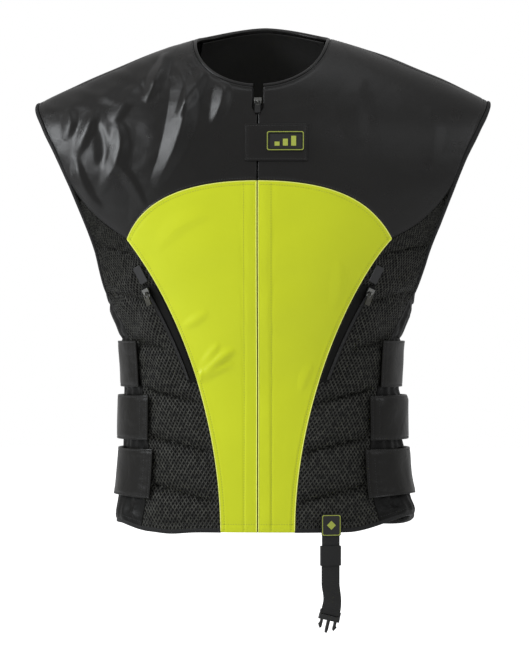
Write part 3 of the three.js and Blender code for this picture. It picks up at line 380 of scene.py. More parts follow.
def both_ways(half):
    def edge(s):
        t = 2 * np.asarray(s, float) - 1
        return half(np.abs(t)) * np.stack([np.where(t < 0, -1, 1), np.ones_like(t)], -1)

    return edge


def edge_of(x_of, h_of):
    def edge(s):
        h = h_of(np.asarray(s, float))
        return np.stack([x_of(h), h], -1)

    return edge


def shared(x, h):
    return (x * SHOULDER_HALF, h * TIP_HEIGHT)


APEX = shared(0.568, 0.674)
GUSSET_HEIGHT = GUSSET_TOP * TIP_HEIGHT
JOIN_HEIGHT = ARM_JOIN * TIP_HEIGHT
BACK_YOKE_HEIGHT = BACK_YOKE * TIP_HEIGHT
WELT_TOP = WELT_TOP_SHARE * TIP_HEIGHT
WELT_FOOT = WELT_FOOT_SHARE * TIP_HEIGHT
ARCH_START = 0.807 * TIP_HEIGHT
arch = bezier((ZIP_LIP_HALF, ARCH_START), shared(0.375, 0.807), shared(0.51, 0.744), APEX)
bright_edge = bezier(shared(0.16, 0), shared(0.16, 0.25), shared(0.335, 0.52), APEX)
join_end = (float(panel_edge_at(JOIN_HEIGHT)), JOIN_HEIGHT)
yoke_join = bezier(APEX, shared(0.665, 0.706), shared(0.79, 0.75), join_end)
side_seam = edge_of(side_seam_at, lambda s: s * GUSSET_HEIGHT)


def arm_edge(low, high):
    return edge_of(panel_edge_at, lambda s: mix(low, high, s))


CAP_ROUNDS = 30


def cap_edge(face, from_height):
    """An armhole's upper edge, from a height to the cap's tip, evenly spread by its turn."""
    start = turn_of_drop(aim_at(face, panel_edge_at(from_height)) - from_height)

    def edge(s):
        s = np.asarray(s, float)
        turn = start * (1 - s)
        h = np.full_like(s, from_height)
        for _ in range(CAP_ROUNDS):
            h = aim_at(face, panel_edge_at(h)) - drop_of_turn(turn)
        x = np.where(s < 1, panel_edge_at(h), TIP_X)
        return np.stack([x, face * turn], -1)

    return edge


def shoulder_seam(s):
    s = np.asarray(s, float)
    x = mix(NECK_HALF, TIP_X, s)
    turn = rim_turn_at(NECK_HALF) * (1 - s) - SEAM_TURN * np.sin(math.pi * s)
    return np.stack([x, np.where(s < 1, turn, 0)], -1)


def front_neckline(s):
    s = np.asarray(s, float)
    angle = mix(math.asin(ZIP_MOUTH_HALF / NECK_HALF), QUARTER, s)
    x = NECK_HALF * np.sin(angle)
    drop = crest_at(x) - (NECK_LEVEL - NECK_DROP * np.cos(angle))
    turn = -turn_of_drop(drop) + rim_turn_at(NECK_HALF) * s**8
    return np.stack([x, np.where(s < 1, turn, rim_turn_at(NECK_HALF))], -1)


def back_rim(s):
    x = NECK_HALF * np.asarray(s, float)
    return np.stack([x, rim_turn_at(x)], -1)


def slit_half_at(h):
    top = NECK_FRONT - ZIP_MOUTH_HEIGHT
    return mix(ZIP_LIP_HALF, ZIP_MOUTH_HALF, smoothstep(h, top - ZIP_MOUTH_SLOPE, top))


def as_turns(face, edge):
    def turned(s):
        x, h = np.moveaxis(edge(s), -1, 0)
        return np.stack([x, face * turn_of_drop(aim_at(face, x) - h)], -1)

    return turned


# Meshes

EDGE_STEPS = np.array([0, 0.35, 0.9, 1.7, 2.8, 4.2])


def fine_shares(length, step, stops=()):
    """Shares of a length: close together by its ends, where the cloth turns in, and even between."""
    ends = EDGE_STEPS * min(1, length / 16)
    count = max(2, round((length - 2 * ends[-1]) / step) + 1)
    middle = np.linspace(ends[-1], length - ends[-1], count)
    shares = np.concatenate([ends[:-1], middle, (length - ends[:-1])[::-1]]) / length
    for stop in stops:
        shares[np.argmin(np.abs(shares - stop))] = stop
    return shares


def coons(bottom, top, left, right, us, vs):
    u, v = us[None, :, None], vs[:, None, None]
    corners = [edge(np.array([end]))[0] for edge in (bottom, top) for end in (0.0, 1.0)]
    flat = (1 - u) * (1 - v) * corners[0] + u * (1 - v) * corners[1]
    flat = flat + (1 - u) * v * corners[2] + u * v * corners[3]
    across = (1 - v) * bottom(us)[None] + v * top(us)[None]
    along = (1 - u) * left(vs)[:, None] + u * right(vs)[:, None]
    return across + along - flat


def run_lengths(points, axis):
    steps = np.linalg.norm(np.diff(points, axis=axis), axis=-1)
    start = np.zeros_like(np.take(steps, [0], axis))
    return np.concatenate([start, np.cumsum(steps, axis)], axis)


def drawn_in(points, distance):
    moved = points.copy()
    rims = (
        (np.s_[0], np.s_[1]),
        (np.s_[-1], np.s_[-2]),
        (np.s_[:, 0], np.s_[:, 1]),
        (np.s_[:, -1], np.s_[:, -2]),
    )
    for rim, inner in rims:
        way = points[inner] - points[rim]
        moved[rim] += distance * way / np.maximum(np.linalg.norm(way, axis=-1, keepdims=True), 1e-6)
    return moved


def new_object(name, vertices, faces, uv=None, sharp=40):
    """A smooth mesh in metres. uv holds a pair for each vertex, in metres of cloth."""
    mesh = bpy.data.meshes.new(name)
    mesh.from_pydata([tuple(v) for v in vertices], [], [tuple(f) for f in faces])
    if uv is not None:
        layer = mesh.uv_layers.new(name="cloth")
        corner_vertex = np.zeros(len(mesh.loops), int)
        mesh.loops.foreach_get("vertex_index", corner_vertex)
        layer.data.foreach_set("uv", np.asarray(uv)[corner_vertex].astype(np.float32).ravel())
    mesh.polygons.foreach_set("use_smooth", [True] * len(mesh.polygons))
    mesh.set_sharp_from_angle(angle=math.radians(sharp))
    obj = bpy.data.objects.new(name, mesh)
    bpy.context.scene.collection.objects.link(obj)
    return obj


def grid_faces(rows, columns, start=0, flip=False):
    index = start + np.arange(rows * columns).reshape(rows, columns)
    quads = np.stack([index[:-1, :-1], index[:-1, 1:], index[1:, 1:], index[1:, :-1]], -1).reshape(-1, 4)
    return quads[:, ::-1] if flip else quads


def wall_object(name, outer, inner, uv, mirror):
    """A closed wall between two grids of points in millimetres."""
    rows, columns = outer.shape[:2]
    count = rows * columns
    index = np.arange(count).reshape(rows, columns)
    loop = np.concatenate([index[0, :-1], index[:-1, -1], index[-1, :0:-1], index[:0:-1, 0]])
    following = np.roll(loop, -1)
    rim = np.stack([loop, loop + count, following + count, following], -1)
    faces = np.concatenate([grid_faces(rows, columns), grid_faces(rows, columns, count, True), rim])
    points = np.concatenate([outer.reshape(-1, 3), inner.reshape(-1, 3)])
    a, b, c = outer[0, 0], outer[0, 1], outer[1, 0]
    inward = np.dot(np.cross(b - a, c - a), outer[0, 0] - inner[0, 0]) < 0
    if inward != (mirror < 0):
        faces = faces[:, ::-1]
    points = points * (mirror, 1, 1)
    flat = uv.reshape(-1, 2)
    return new_object(name, placed(points), faces, np.concatenate([flat, flat]))


def dress(obj, node, material):
    """Gives a piece its finish, has it ride on the vest, and has it stand for a CAD node if it has one."""
    obj.data.materials.clear()
    obj.data.materials.append(material)
    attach(obj, BODY)
    if node:
        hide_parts(node)


CLOTH_FRAMES = 24


def draped(points, normals, us, vs, held, growth, pressure, cap):
    """How far simulated cloth rises over a grid of shell points, in millimetres, up to about cap.

    The cloth is cut too large by the share growth, fixed where held is true, and blown out by pressure.
    """
    rows = np.r_[0, len(EDGE_STEPS) - 1:len(vs) - len(EDGE_STEPS) + 1, len(vs) - 1]
    columns = np.r_[0, len(EDGE_STEPS) - 1:len(us) - len(EDGE_STEPS) + 1, len(us) - 1]
    grid = np.ix_(rows, columns)
    start = points[grid]
    fixed = held[grid].copy()
    fixed[[0, -1]] = True
    fixed[:, [0, -1]] = True
    faces = grid_faces(len(rows), len(columns))
    a, b, c = start[0, 0], start[0, 1], start[1, 0]
    if np.dot(np.cross(b - a, c - a), normals[0, 0]) < 0:
        faces = faces[:, ::-1]
    cloth = new_object("cloth", placed(start.reshape(-1, 3)), faces)
    cloth.vertex_groups.new(name="held").add(np.flatnonzero(fixed).tolist(), 1.0, "REPLACE")
    modifier = cloth.modifiers.new("cloth", "CLOTH")
    settings = modifier.settings
    settings.quality = 6
    settings.mass = 0.2
    settings.tension_stiffness = 20
    settings.compression_stiffness = 20
    settings.shear_stiffness = 8
    settings.bending_stiffness = 0.3
    settings.shrink_min = -growth
    settings.use_pressure = True
    settings.uniform_pressure_force = pressure
    settings.vertex_group_mass = "held"
    settings.effector_weights.gravity = 0
    modifier.point_cache.frame_start = 1
    modifier.point_cache.frame_end = CLOTH_FRAMES
    scene = bpy.context.scene
    for number in range(1, CLOTH_FRAMES + 1):
        scene.frame_set(number)
    result = cloth.evaluated_get(bpy.context.evaluated_depsgraph_get()).data
    places = np.empty(start.size)
    result.vertices.foreach_get("co", places)
    moved = places.reshape(start.shape) / MM - placed(start) / MM
    rise = np.einsum("ijk,ijk->ij", moved, normals[grid])
    scene.frame_set(1)
    bpy.data.objects.remove(cloth)
    rise = cap * np.tanh(np.nan_to_num(rise) / cap)
    across = np.array([np.interp(us, us[columns], row) for row in rise])
    return np.array([np.interp(vs, vs[rows], column) for column in across.T]).T


def shell_piece(name, chart, edges, material, step=3, outer=0.0, inner=-WALL, relief=None,
                mirror=1, stops=(), rounding=1.5, stitched=(), highlighted_edges=(), cloth=None):
    """A piece of the shell inside four edges: bottom, top, left and right."""
    coarse = chart(coons(*edges, np.linspace(0, 1, 13), np.linspace(0, 1, 13)))
    lengths = [float(run_lengths(coarse, axis).max()) for axis in (1, 0)]
    us = fine_shares(lengths[0], step, stops)
    vs = fine_shares(lengths[1], step)
    points = chart(coons(*edges, us, vs))
    normals = shell_normal(points)
    across, along = run_lengths(points, 1), run_lengths(points, 0)
    place = SimpleNamespace(
        x=mirror * points[..., 0],
        y=points[..., 1],
        h=points[..., 2],
        left=across,
        right=across[:, -1:] - across,
        foot=along,
        top=along[-1:] - along,
        u=np.broadcast_to(us[None], across.shape),
    )
    if cloth:
        place.drape = draped(points, normals, us, vs, cloth.held(place), *cloth.settings)
    rim = np.minimum(np.minimum(place.left, place.right), np.minimum(place.foot, place.top))
    heights = [side(us)[None, :] if callable(side) else side for side in (outer, inner)]
    fade = 1 - np.exp(-((rim / 7) ** 2))
    rise = fade * relief(place) if relief else np.zeros_like(rim)
    for edge, distance in stitched:
        rise = rise - 0.5 * np.exp(-(((getattr(place, edge) - distance) / 1.4) ** 2))
    turned = rounding * (1 - np.sqrt(1 - np.clip(1 - rim / rounding, 0, 1) ** 2))
    turned = np.minimum(turned, 0.45 * (heights[0] - heights[1]))
    sheets = [
        points + normals * (heights[0] + rise - turned)[..., None],
        points + normals * (heights[1] + 0.7 * rise + turned)[..., None],
    ]
    uv = np.stack([across, along], -1) * MM
    obj = wall_object(name, *(drawn_in(sheet, SEAM_INSET) for sheet in sheets), uv, mirror)
    thread = "bright" if material is BRIGHT else "dark"
    for edge, distance in stitched:
        add_stitches(thread, *line_on_sheet(sheets[0], place, edge, distance, mirror))
    # Thin tubes along these edges, in a paler lime than the cloth: a painted highlight on the folded edges.
    for edge in highlighted_edges:
        line, out = line_on_sheet(sheets[0], place, edge, EDGE_HIGHLIGHT_INSET, mirror)
        add_edge_highlight(f"{name}_{edge}_piping", line, out)
    dress(obj, name, material)


def line_on_sheet(sheet, place, edge, distance, mirror):
    """Points of a sheet at one distance from an edge, and the shell's outward normals there."""
    away = getattr(place, edge)
    if edge in ("foot", "top"):
        away, sheet = away.T, sheet.swapaxes(0, 1)
    if edge in ("right", "top"):
        away, sheet = away[:, ::-1], sheet[:, ::-1]
    rows = [[np.interp(distance, a, row[:, k]) for k in range(3)] for a, row in zip(away, sheet)]
    line = np.array(rows)
    return line * (mirror, 1, 1), shell_normal(line) * (mirror, 1, 1)


def resampled(line, out, pitch):
    run = np.concatenate([[0], np.cumsum(np.linalg.norm(np.diff(line, axis=0), axis=1))])
    places = np.linspace(0, run[-1], max(2, round(run[-1] / pitch)) + 1)
    return [np.stack([np.interp(places, run, a[:, k]) for k in range(3)], -1) for a in (line, out)]


STITCH_PITCH = 3.2
STITCH_LENGTH = 2.3
STITCH_RADIUS = 0.33
STITCHES = {"bright": [], "dark": []}


def add_stitches(thread, line, out):
    """Short rounded stitches along a line, kept for one mesh of each thread."""
    points, outs = resampled(line, out, STITCH_PITCH)
    centres = (points[:-1] + points[1:]) / 2
    along = np.diff(points, axis=0)
    along /= np.maximum(np.linalg.norm(along, axis=1, keepdims=True), 1e-6)
    up = outs[:-1]
    beside = np.cross(along, up)
    angles = np.arange(5) * math.tau / 5
    ring = np.stack([np.cos(angles), np.sin(angles)], -1) * STITCH_RADIUS
    template = [(-STITCH_LENGTH / 2, 0, -STITCH_RADIUS)]
    template += [(-STITCH_LENGTH / 4, b, n) for b, n in ring]
    template += [(STITCH_LENGTH / 4, b, n) for b, n in ring]
    template += [(STITCH_LENGTH / 2, 0, -STITCH_RADIUS)]
    template = np.array(template)
    axes = np.stack([along, beside, up], 1)
    STITCHES[thread].append(centres[:, None] + up[:, None] * 0.15 + np.einsum("vk,nkc->nvc", template, axes))


def stitch_faces(count):
    near, far = np.arange(1, 6), np.arange(6, 11)
    faces = [(0, b, a) for a, b in zip(near, np.roll(near, -1))]
    faces += [(a, b, d, c) for a, b, c, d in zip(near, np.roll(near, -1), far, np.roll(far, -1))]
    faces += [(11, a, b) for a, b in zip(far, np.roll(far, -1))]
    return [tuple(int(v) + 12 * k for v in face) for k in range(count) for face in faces]


# A tube rounds each folded edge of the bright panels. Its paler lime is a painted highlight where the fold
# catches the light.
EDGE_HIGHLIGHT_RADIUS = 0.65
EDGE_HIGHLIGHT_INSET = 0.7


def add_edge_highlight(name, line, out):
    line, out = resampled(line, out, 3)
    run = np.gradient(line, axis=0)
    across = np.cross(run, out)
    across /= np.linalg.norm(across, axis=1, keepdims=True)
    angles = np.linspace(0, math.tau, 8, endpoint=False)
    ring = [(EDGE_HIGHLIGHT_RADIUS * math.cos(a), EDGE_HIGHLIGHT_RADIUS * math.sin(a)) for a in angles]
    edge_highlight = swept_object(name, line, across, out, ring, False)
    dress(edge_highlight, None, EDGE_HIGHLIGHT_LIME)


def local_frames(points, closed):
    """Across (towards the hole's middle) and out directions along an edge of the shell."""
    centre = points.mean(0)
    if closed:
        run = np.roll(points, -1, 0) - np.roll(points, 1, 0)
    else:
        run = np.gradient(points, axis=0)
    out = shell_normal(points)
    across = np.cross(run, out)
    across /= np.linalg.norm(across, axis=-1, keepdims=True)
    facing = np.einsum("ij,ij->i", across, centre - points)
    across *= np.sign(facing)[:, None]
    return across, out


def facing_out(obj):
    tools = bmesh.new()
    tools.from_mesh(obj.data)
    bmesh.ops.recalc_face_normals(tools, faces=tools.faces)
    tools.to_mesh(obj.data)
    tools.free()
    return obj


def swept_object(name, points, across, out, section, closed, round_uv=1.0):
    """A bar of one closed section along points. section holds pairs: across and out, in millimetres."""
    section = np.array(section, float)
    rings = points[:, None] + across[:, None] * section[None, :, :1] + out[:, None] * section[None, :, 1:]
    count, sides = rings.shape[:2]
    index = np.arange(count * sides).reshape(count, sides)
    following = np.roll(index, -1, 0) if closed else index[1:]
    here = index if closed else index[:-1]
    quads = np.stack([here, following, np.roll(following, -1, 1), np.roll(here, -1, 1)], -1)
    faces = [tuple(quad) for quad in quads.reshape(-1, 4)]
    if not closed:
        faces += [tuple(index[0]), tuple(index[-1][::-1])]
    along = np.concatenate([[0], np.cumsum(np.linalg.norm(np.diff(points, axis=0), axis=1))])
    round_length = np.linspace(0, round_uv, sides)
    uv = np.stack(np.broadcast_arrays(round_length[None] * 10, along[:, None]), -1).reshape(-1, 2) * MM
    return facing_out(new_object(name, placed(rings.reshape(-1, 3)), faces, uv))


def round_section(a0, a1, o0, o1, corner, steps=4):
    """A rectangle with round corners, as a closed list of pairs."""
    centres = ((a1 - corner, o1 - corner), (a0 + corner, o1 - corner), (a0 + corner, o0 + corner),
               (a1 - corner, o0 + corner))
    section = []
    for k, (a, o) in enumerate(centres):
        for angle in np.linspace(k * QUARTER, (k + 1) * QUARTER, steps):
            section.append((a + corner * math.cos(angle), o + corner * math.sin(angle)))
    return section


def front_matrix(x, h):
    """A frame in metres whose X, Y and Z run across, up and out of the front panels."""
    at = on_face(-1)(np.array([x, h], float))
    out = Vector(shell_normal(at))
    up = (Vector((0, 0, 1)) - out * out.z).normalized()
    across = up.cross(out)
    matrix = Matrix((across, up, out)).transposed().to_4x4()
    matrix.translation = Vector(placed(at))
    return matrix


# Materials


class Finish:
    """A principled material, with short calls for its nodes."""

    def __init__(self, name, color, roughness, **settings):
        self.material = bpy.data.materials.new(name)
        self.material.use_nodes = True
        self.tree = self.material.node_tree
        self.shader = self.tree.nodes["Principled BSDF"]
        self.normal = None
        self.shader.inputs["Base Color"].default_value = (*color, 1)
        self.shader.inputs["Roughness"].default_value = roughness
        for key, value in settings.items():
            self.shader.inputs[key.replace("_", " ")].default_value = value

    def node(self, kind, inputs=None, **settings):
        made = self.tree.nodes.new(kind)
        for key, value in settings.items():
            setattr(made, key, value)
        for key, value in (inputs or {}).items():
            if isinstance(value, bpy.types.NodeSocket):
                self.tree.links.new(value, made.inputs[key])
            else:
                made.inputs[key].default_value = value
        return made

    def cloth(self, turn=0):
        uv = self.node("ShaderNodeUVMap", uv_map="cloth").outputs["UV"]
        inputs = {"Vector": uv, "Rotation": (0, 0, math.radians(turn))}
        return self.node("ShaderNodeMapping", inputs).outputs["Vector"]

    def space(self):
        return self.node("ShaderNodeTexCoord").outputs["Object"]

    def noise(self, vector, scale, detail=3, roughness=0.5, distortion=0):
        inputs = {"Vector": vector, "Scale": scale, "Detail": detail, "Roughness": roughness,
                  "Distortion": distortion}
        return self.node("ShaderNodeTexNoise", inputs).outputs["Fac"]

    def wave(self, pitch_mm, turn=0, direction="X"):
        inputs = {"Vector": self.cloth(turn), "Scale": math.pi / (10 * pitch_mm * MM)}
        return self.node("ShaderNodeTexWave", inputs, bands_direction=direction).outputs["Fac"]

    def math(self, operation, a, b):
        return self.node("ShaderNodeMath", {0: a, 1: b}, operation=operation).outputs[0]

    def ramp(self, value, low, high, to_low=0.0, to_high=1.0):
        inputs = {"Value": value, "From Min": low, "From Max": high, "To Min": to_low, "To Max": to_high}
        return self.node("ShaderNodeMapRange", inputs).outputs["Result"]

    def color_between(self, value, low, high):
        mixer = self.node("ShaderNodeMix", {"Factor": value}, data_type="RGBA")
        colors = [s for s in mixer.inputs if s.type == "RGBA"]
        colors[0].default_value = (*low, 1)
        colors[1].default_value = (*high, 1)
        result = next(s for s in mixer.outputs if s.type == "RGBA")
        self.tree.links.new(result, self.shader.inputs["Base Color"])

    def bump(self, height, strength, distance_mm):
        inputs = {"Height": height, "Strength": strength, "Distance": distance_mm * MM}
        if self.normal:
            inputs["Normal"] = self.normal
        self.normal = self.node("ShaderNodeBump", inputs).outputs["Normal"]
        self.tree.links.new(self.normal, self.shader.inputs["Normal"])

    def drive(self, socket, value):
        self.tree.links.new(value, self.shader.inputs[socket])


def plain_weave(finish, pitch_mm, strength):
    threads = finish.math("MULTIPLY", finish.wave(pitch_mm), finish.wave(pitch_mm, direction="Y"))
    finish.bump(threads, strength, 0.15)


def nylon_finish(name, color, roughness, gloss=0.35):
    finish = Finish(name, color, roughness, Specular_IOR_Level=gloss)
    space = finish.space()
    finish.drive("Roughness", finish.ramp(finish.noise(space, 40, 2), 0.3, 0.7, roughness, roughness + 0.04))
    finish.bump(finish.noise(space, 16, 2, 0.5), 0.2, 3)
    finish.bump(finish.noise(space, 380, 1), 0.35, 0.3)
    plain_weave(finish, 0.7, 0.3)
    return finish.material


def bright_finish():
    finish = Finish("bright_cloth", (0.7, 0.79, 0.024), 0.4, Specular_IOR_Level=0.35)
    space = finish.space()
    finish.color_between(finish.noise(space, 9, 4), (0.64, 0.72, 0.012), (0.72, 0.8, 0.017))
    finish.bump(finish.noise(space, 18, 4, 0.5, 0.5), 0.25, 3)
    plain_weave(finish, 0.9, 0.3)
    return finish.material


MESH_PITCH = 4


def mesh_finish():
    finish = Finish("spacer_mesh", (0.02, 0.02, 0.02), 0.6, Specular_IOR_Level=0.25)
    rising = finish.wave(MESH_PITCH, 35)
    falling = finish.wave(MESH_PITCH, -35)
    net = finish.math("MAXIMUM", rising, falling)
    # Noise dims and lightens the threads' colour at random: painted glints.
    painted_glint = finish.ramp(finish.noise(finish.cloth(), 170, 2), 0.38, 0.62, 0.25, 1)
    thread = finish.math("MULTIPLY", finish.ramp(net, 0.5, 0.9), painted_glint)
    # The net is the mesh's own pattern. The threads' light grey is a painted highlight, and the near-black
    # between them is painted shade in the holes.
    finish.color_between(thread, (0.0008, 0.0008, 0.0006), (0.05, 0.05, 0.042))
    finish.drive("Roughness", finish.ramp(net, 0.5, 0.9, 0.9, 0.45))
    finish.bump(net, 1.0, 1.4)
    return finish.material


def coated_finish(name, color, roughness):
    finish = Finish(name, color, roughness, Specular_IOR_Level=0.28)
    space = finish.space()
    finish.bump(finish.noise(space, 45, 3, 0.5, 0.8), 0.4, 2)
    finish.bump(finish.noise(space, 900, 2), 0.15, 0.2)
    return finish.material


def tape_finish(name, color, roughness, pitch_mm=1.4):
    finish = Finish(name, color, roughness, Specular_IOR_Level=0.25)
    ribs = finish.math("MAXIMUM", finish.wave(pitch_mm, 35), finish.wave(pitch_mm, -35))
    finish.bump(ribs, 0.5, 0.4)
    return finish.material


def moulded_finish(name, color, roughness, metal=0.0):
    finish = Finish(name, color, roughness, Metallic=metal)
    space = finish.space()
    worn = finish.ramp(finish.noise(space, 250, 3), 0.3, 0.7, roughness * 0.85, roughness * 1.2)
    finish.drive("Roughness", worn)
    finish.bump(finish.noise(space, 700, 2), 0.1, 0.1)
    return finish.material


def coil_finish():
    finish = Finish("zip_coil", (0.012, 0.012, 0.012), 0.35)
    finish.bump(finish.wave(1.5, direction="Y"), 1.0, 0.8)
    return finish.material


NYLON = nylon_finish("glossy_nylon", (0.0045, 0.004, 0.0035), 0.27, 0.42)
BRIGHT = bright_finish()
MESH = mesh_finish()
BACKING = nylon_finish("backing_cloth", (0.0025, 0.0025, 0.002), 0.4, 0.16)
LINING_CLOTH = nylon_finish("lining_cloth", (0.014, 0.0135, 0.013), 0.55)
BINDING = tape_finish("binding_tape", (0.012, 0.012, 0.012), 0.5, 0.8)
STRAP = coated_finish("strap_cloth", (0.006, 0.0055, 0.0045), 0.3)
WEBBING = tape_finish("webbing", (0.02, 0.02, 0.02), 0.55)
COIL = coil_finish()
METAL = moulded_finish("slider_metal", (0.2, 0.2, 0.19), 0.3, metal=1.0)
GUNMETAL = moulded_finish("gunmetal", (0.1, 0.098, 0.085), 0.25, metal=1.0)
GARAGE_CLOTH = nylon_finish("garage_cloth", (0.018, 0.018, 0.019), 0.32, 0.5)
PLASTIC = moulded_finish("moulded_plastic", (0.012, 0.012, 0.012), 0.3)
LIME = moulded_finish("lime_rubber", (0.42, 0.48, 0.07), 0.5)
DULL_LIME = moulded_finish("dull_lime_rubber", (0.035, 0.042, 0.012), 0.5)
DARK_RUBBER = moulded_finish("dark_rubber", (0.012, 0.012, 0.012), 0.5)
THREAD_DARK = moulded_finish("dark_thread", (0.03, 0.03, 0.03), 0.6)
THREAD_BRIGHT = moulded_finish("bright_thread", (0.5, 0.55, 0.05), 0.6)
# Paler than the bright cloth: painted highlight along its folded edges.
EDGE_HIGHLIGHT_LIME = moulded_finish("bright_edge", (0.95, 1, 0.2), 0.6)

SIDES = (("left", -1), ("right", 1))


# Relief of the cloth, in millimetres above the shell


def ripple(p, q, pitch, seed):
    """Soft unevenness: a few waves of about one pitch, in different directions."""
    total = 0
    for k in range(6):
        angle = 2.4 * k + seed
        frequency = 2 * math.pi / (pitch * (0.7 + 0.15 * k))
        total = total + np.sin(frequency * (p * math.cos(angle) + q * math.sin(angle)) + 1.7 * k * seed)
    return total / 6


def fold(x, h, start, middle, end, width, rise):
    """A pinched fold through three points. One side slopes over width and the other is steeper."""
    t = np.linspace(0, 1, 33)
    a, b, c = (np.array(p, float) for p in (start, middle, end))
    b = 2 * b - (a + c) / 2
    line = a * ((1 - t) ** 2)[:, None] + b * (2 * t * (1 - t))[:, None] + c * (t * t)[:, None]
    run = np.gradient(line, axis=0)
    run /= np.linalg.norm(run, axis=1, keepdims=True)
    away_x, away_h = x[..., None] - line[:, 0], h[..., None] - line[:, 1]
    nearest = np.hypot(away_x, away_h).argmin(-1)
    pick = np.take_along_axis
    away_x = pick(away_x, nearest[..., None], -1)[..., 0]
    away_h = pick(away_h, nearest[..., None], -1)[..., 0]
    beside = run[nearest, 1] * away_x - run[nearest, 0] * away_h
    beyond = run[nearest, 0] * away_x + run[nearest, 1] * away_h
    speed = np.linalg.norm(np.gradient(line, t, axis=0), axis=1)
    place = np.clip(t[nearest] + beyond / speed[nearest], 0, 1)
    distance = np.hypot(beside, CREST_ROUND) - CREST_ROUND
    side = np.where(beside > 0, width, STEEP_SIDE * width) * (0.4 + 0.6 * np.sin(math.pi * place))
    height = np.clip(1 - distance / side, 0, 1)
    return rise * height * np.sin(math.pi * place) ** 0.8


# The steep side of a fold, as a share of its gentle side
STEEP_SIDE = 0.6
CREST_ROUND = 1.5
# Crests from the top down: three places (x, height above the hem), then the gentle side's width, and the rise
YOKE_FOLDS = (
    ((-106, 574), (-87, 509), (-124, 418), 22, 9),
    ((-58, 580), (-74, 542), (-96, 500), 13, 6.5),
    ((-46, 560), (-41, 528), (-56, 494), 14, 6.2),
    ((-116, 590), (-122, 556), (-140, 524), 14, 7),
    ((-174, 500), (-168, 458), (-198, 408), 16, 5.6),
    ((-178, 456), (-154, 426), (-136, 392), 10, 2.2),
    ((-86, 584), (-80, 574), (-70, 560), 6, 2.2),
    ((-74, 578), (-66, 566), (-52, 556), 6, 2),
    ((-226, 462), (-214, 420), (-192, 392), 13, 4),
    ((-200, 520), (-210, 488), (-226, 458), 12, 3.4),
    ((-200, 500), (-190, 470), (-196, 444), 11, -2.6),
    ((-150, 548), (-166, 520), (-178, 498), 16, 3),
    ((-238, 520), (-232, 500), (-240, 478), 12, 3),
    ((128, 556), (120, 515), (128, 470), 24, 1.6),
    ((205, 520), (212, 485), (204, 445), 20, 1.4),
)


def yoke_relief(place):
    crumple = np.where(place.x < 0, 1.1, 0.45)
    rise = crumple * (0.6 * ripple(place.x, place.h, 60, 0.8) + 0.3 * ripple(place.x, place.h, 24, 2.3))
    slack = smoothstep(-place.x, 70, 150) * smoothstep(place.h, 490, 550)
    rise = rise + 1.6 * slack * ripple(place.x, 1.4 * place.h, 34, 1.1)
    for crest in YOKE_FOLDS:
        rise = rise + fold(place.x, place.h, *crest)
    return rise


BRIGHT_FOLDS = (
    ((-27, 222), (-50, 206), (-77, 181), 8, 3.6),
    ((-46, 230), (-57, 215), (-72, 198), 6, 2),
    ((-66, 198), (-72, 184), (-76, 162), 5, 2.4),
    ((-28, 204), (-52, 194), (-74, 180), 5, 2.0),
    ((-60, 268), (-76, 256), (-92, 248), 8, 1.8),
    ((-52, 385), (-92, 372), (-124, 340), 16, 1.2),
    ((66, 205), (58, 188), (52, 170), 8, 0.9),
    ((96, 330), (100, 300), (90, 268), 12, 0.9),
)
HEM_BAND = 10


def hem_band(place):
    return 0.7 * (1 - smoothstep(place.foot, HEM_BAND - 1, HEM_BAND + 1)) - 0.5 * np.exp(
        -(((place.foot - HEM_BAND - 1) / 1.2) ** 2)
    )


ZIP_TOPSTITCH = 16


def bright_relief(place):
    rise = 0.6 * ripple(place.x, place.h, 75, 2.1) + hem_band(place)
    for crest in BRIGHT_FOLDS:
        rise = rise + fold(place.x, place.h, *crest)
    zip_facing = 0.5 * (1 - smoothstep(place.left, ZIP_TOPSTITCH - 2, ZIP_TOPSTITCH))
    return rise + zip_facing + 0.8 * np.exp(-(((place.right - 4) / 3) ** 2))


def rib_phase(x, h):
    return (h + RIB_SLOPE * (side_seam_at(h) - np.abs(x))) / RIB_PITCH


SEAM_DEPTH = 2.6
SEAM_HALF = 1.5
HELD_HALF = 2


def from_rib_seam(place):
    phase = rib_phase(place.x, place.h)
    return RIB_PITCH * (phase - np.round(phase))


def mesh_relief(place):
    """Quilted ribs, which lie flat around the pocket and by the hem."""
    above_foot = smoothstep(place.h, WELT_FOOT - 14, WELT_FOOT)
    below_top = smoothstep(-place.h, -WELT_TOP - 24, -WELT_TOP - 12)
    off_pocket = np.maximum(smoothstep(place.left, 24, 34), 1 - above_foot * below_top)
    hollow = -RIB_DEPTH * np.abs(np.cos(math.pi * rib_phase(place.x, place.h))) ** 7
    seam = -SEAM_DEPTH * np.exp(-((from_rib_seam(place) / SEAM_HALF) ** 2))
    return (hollow + seam + place.drape) * off_pocket * smoothstep(place.foot, 4, 26)


# held: where the cloth is fixed. settings: its growth, pressure and cap.
MESH_CLOTH = SimpleNamespace(
    held=lambda place: np.abs(from_rib_seam(place)) < HELD_HALF,
    settings=(0.03, 3.0, 3.2),
)
SIDE_CLOTH = SimpleNamespace(
    held=lambda place: np.zeros(place.h.shape, bool),
    settings=(0.06, 0.5, 2.4),
)


def gather_relief(place):
    """Gathers of the side panels, with the draped cloth and their band at the hem."""
    folds = 0.8 * np.sin(2 * math.pi * place.y / 17 + 0.8 * np.sin(place.h / 23))
    return folds + place.drape + hem_band(place)


def back_relief(place):
    ribs = -2 * np.abs(np.cos(math.pi * place.h / RIB_PITCH)) ** 9
    return ribs + 0.8 * ripple(place.x, place.h, 80, 0.9) + hem_band(place)


def soft_relief(pitch, rise, seed):
    return lambda place: rise * ripple(place.x + place.y, place.h, pitch, seed)


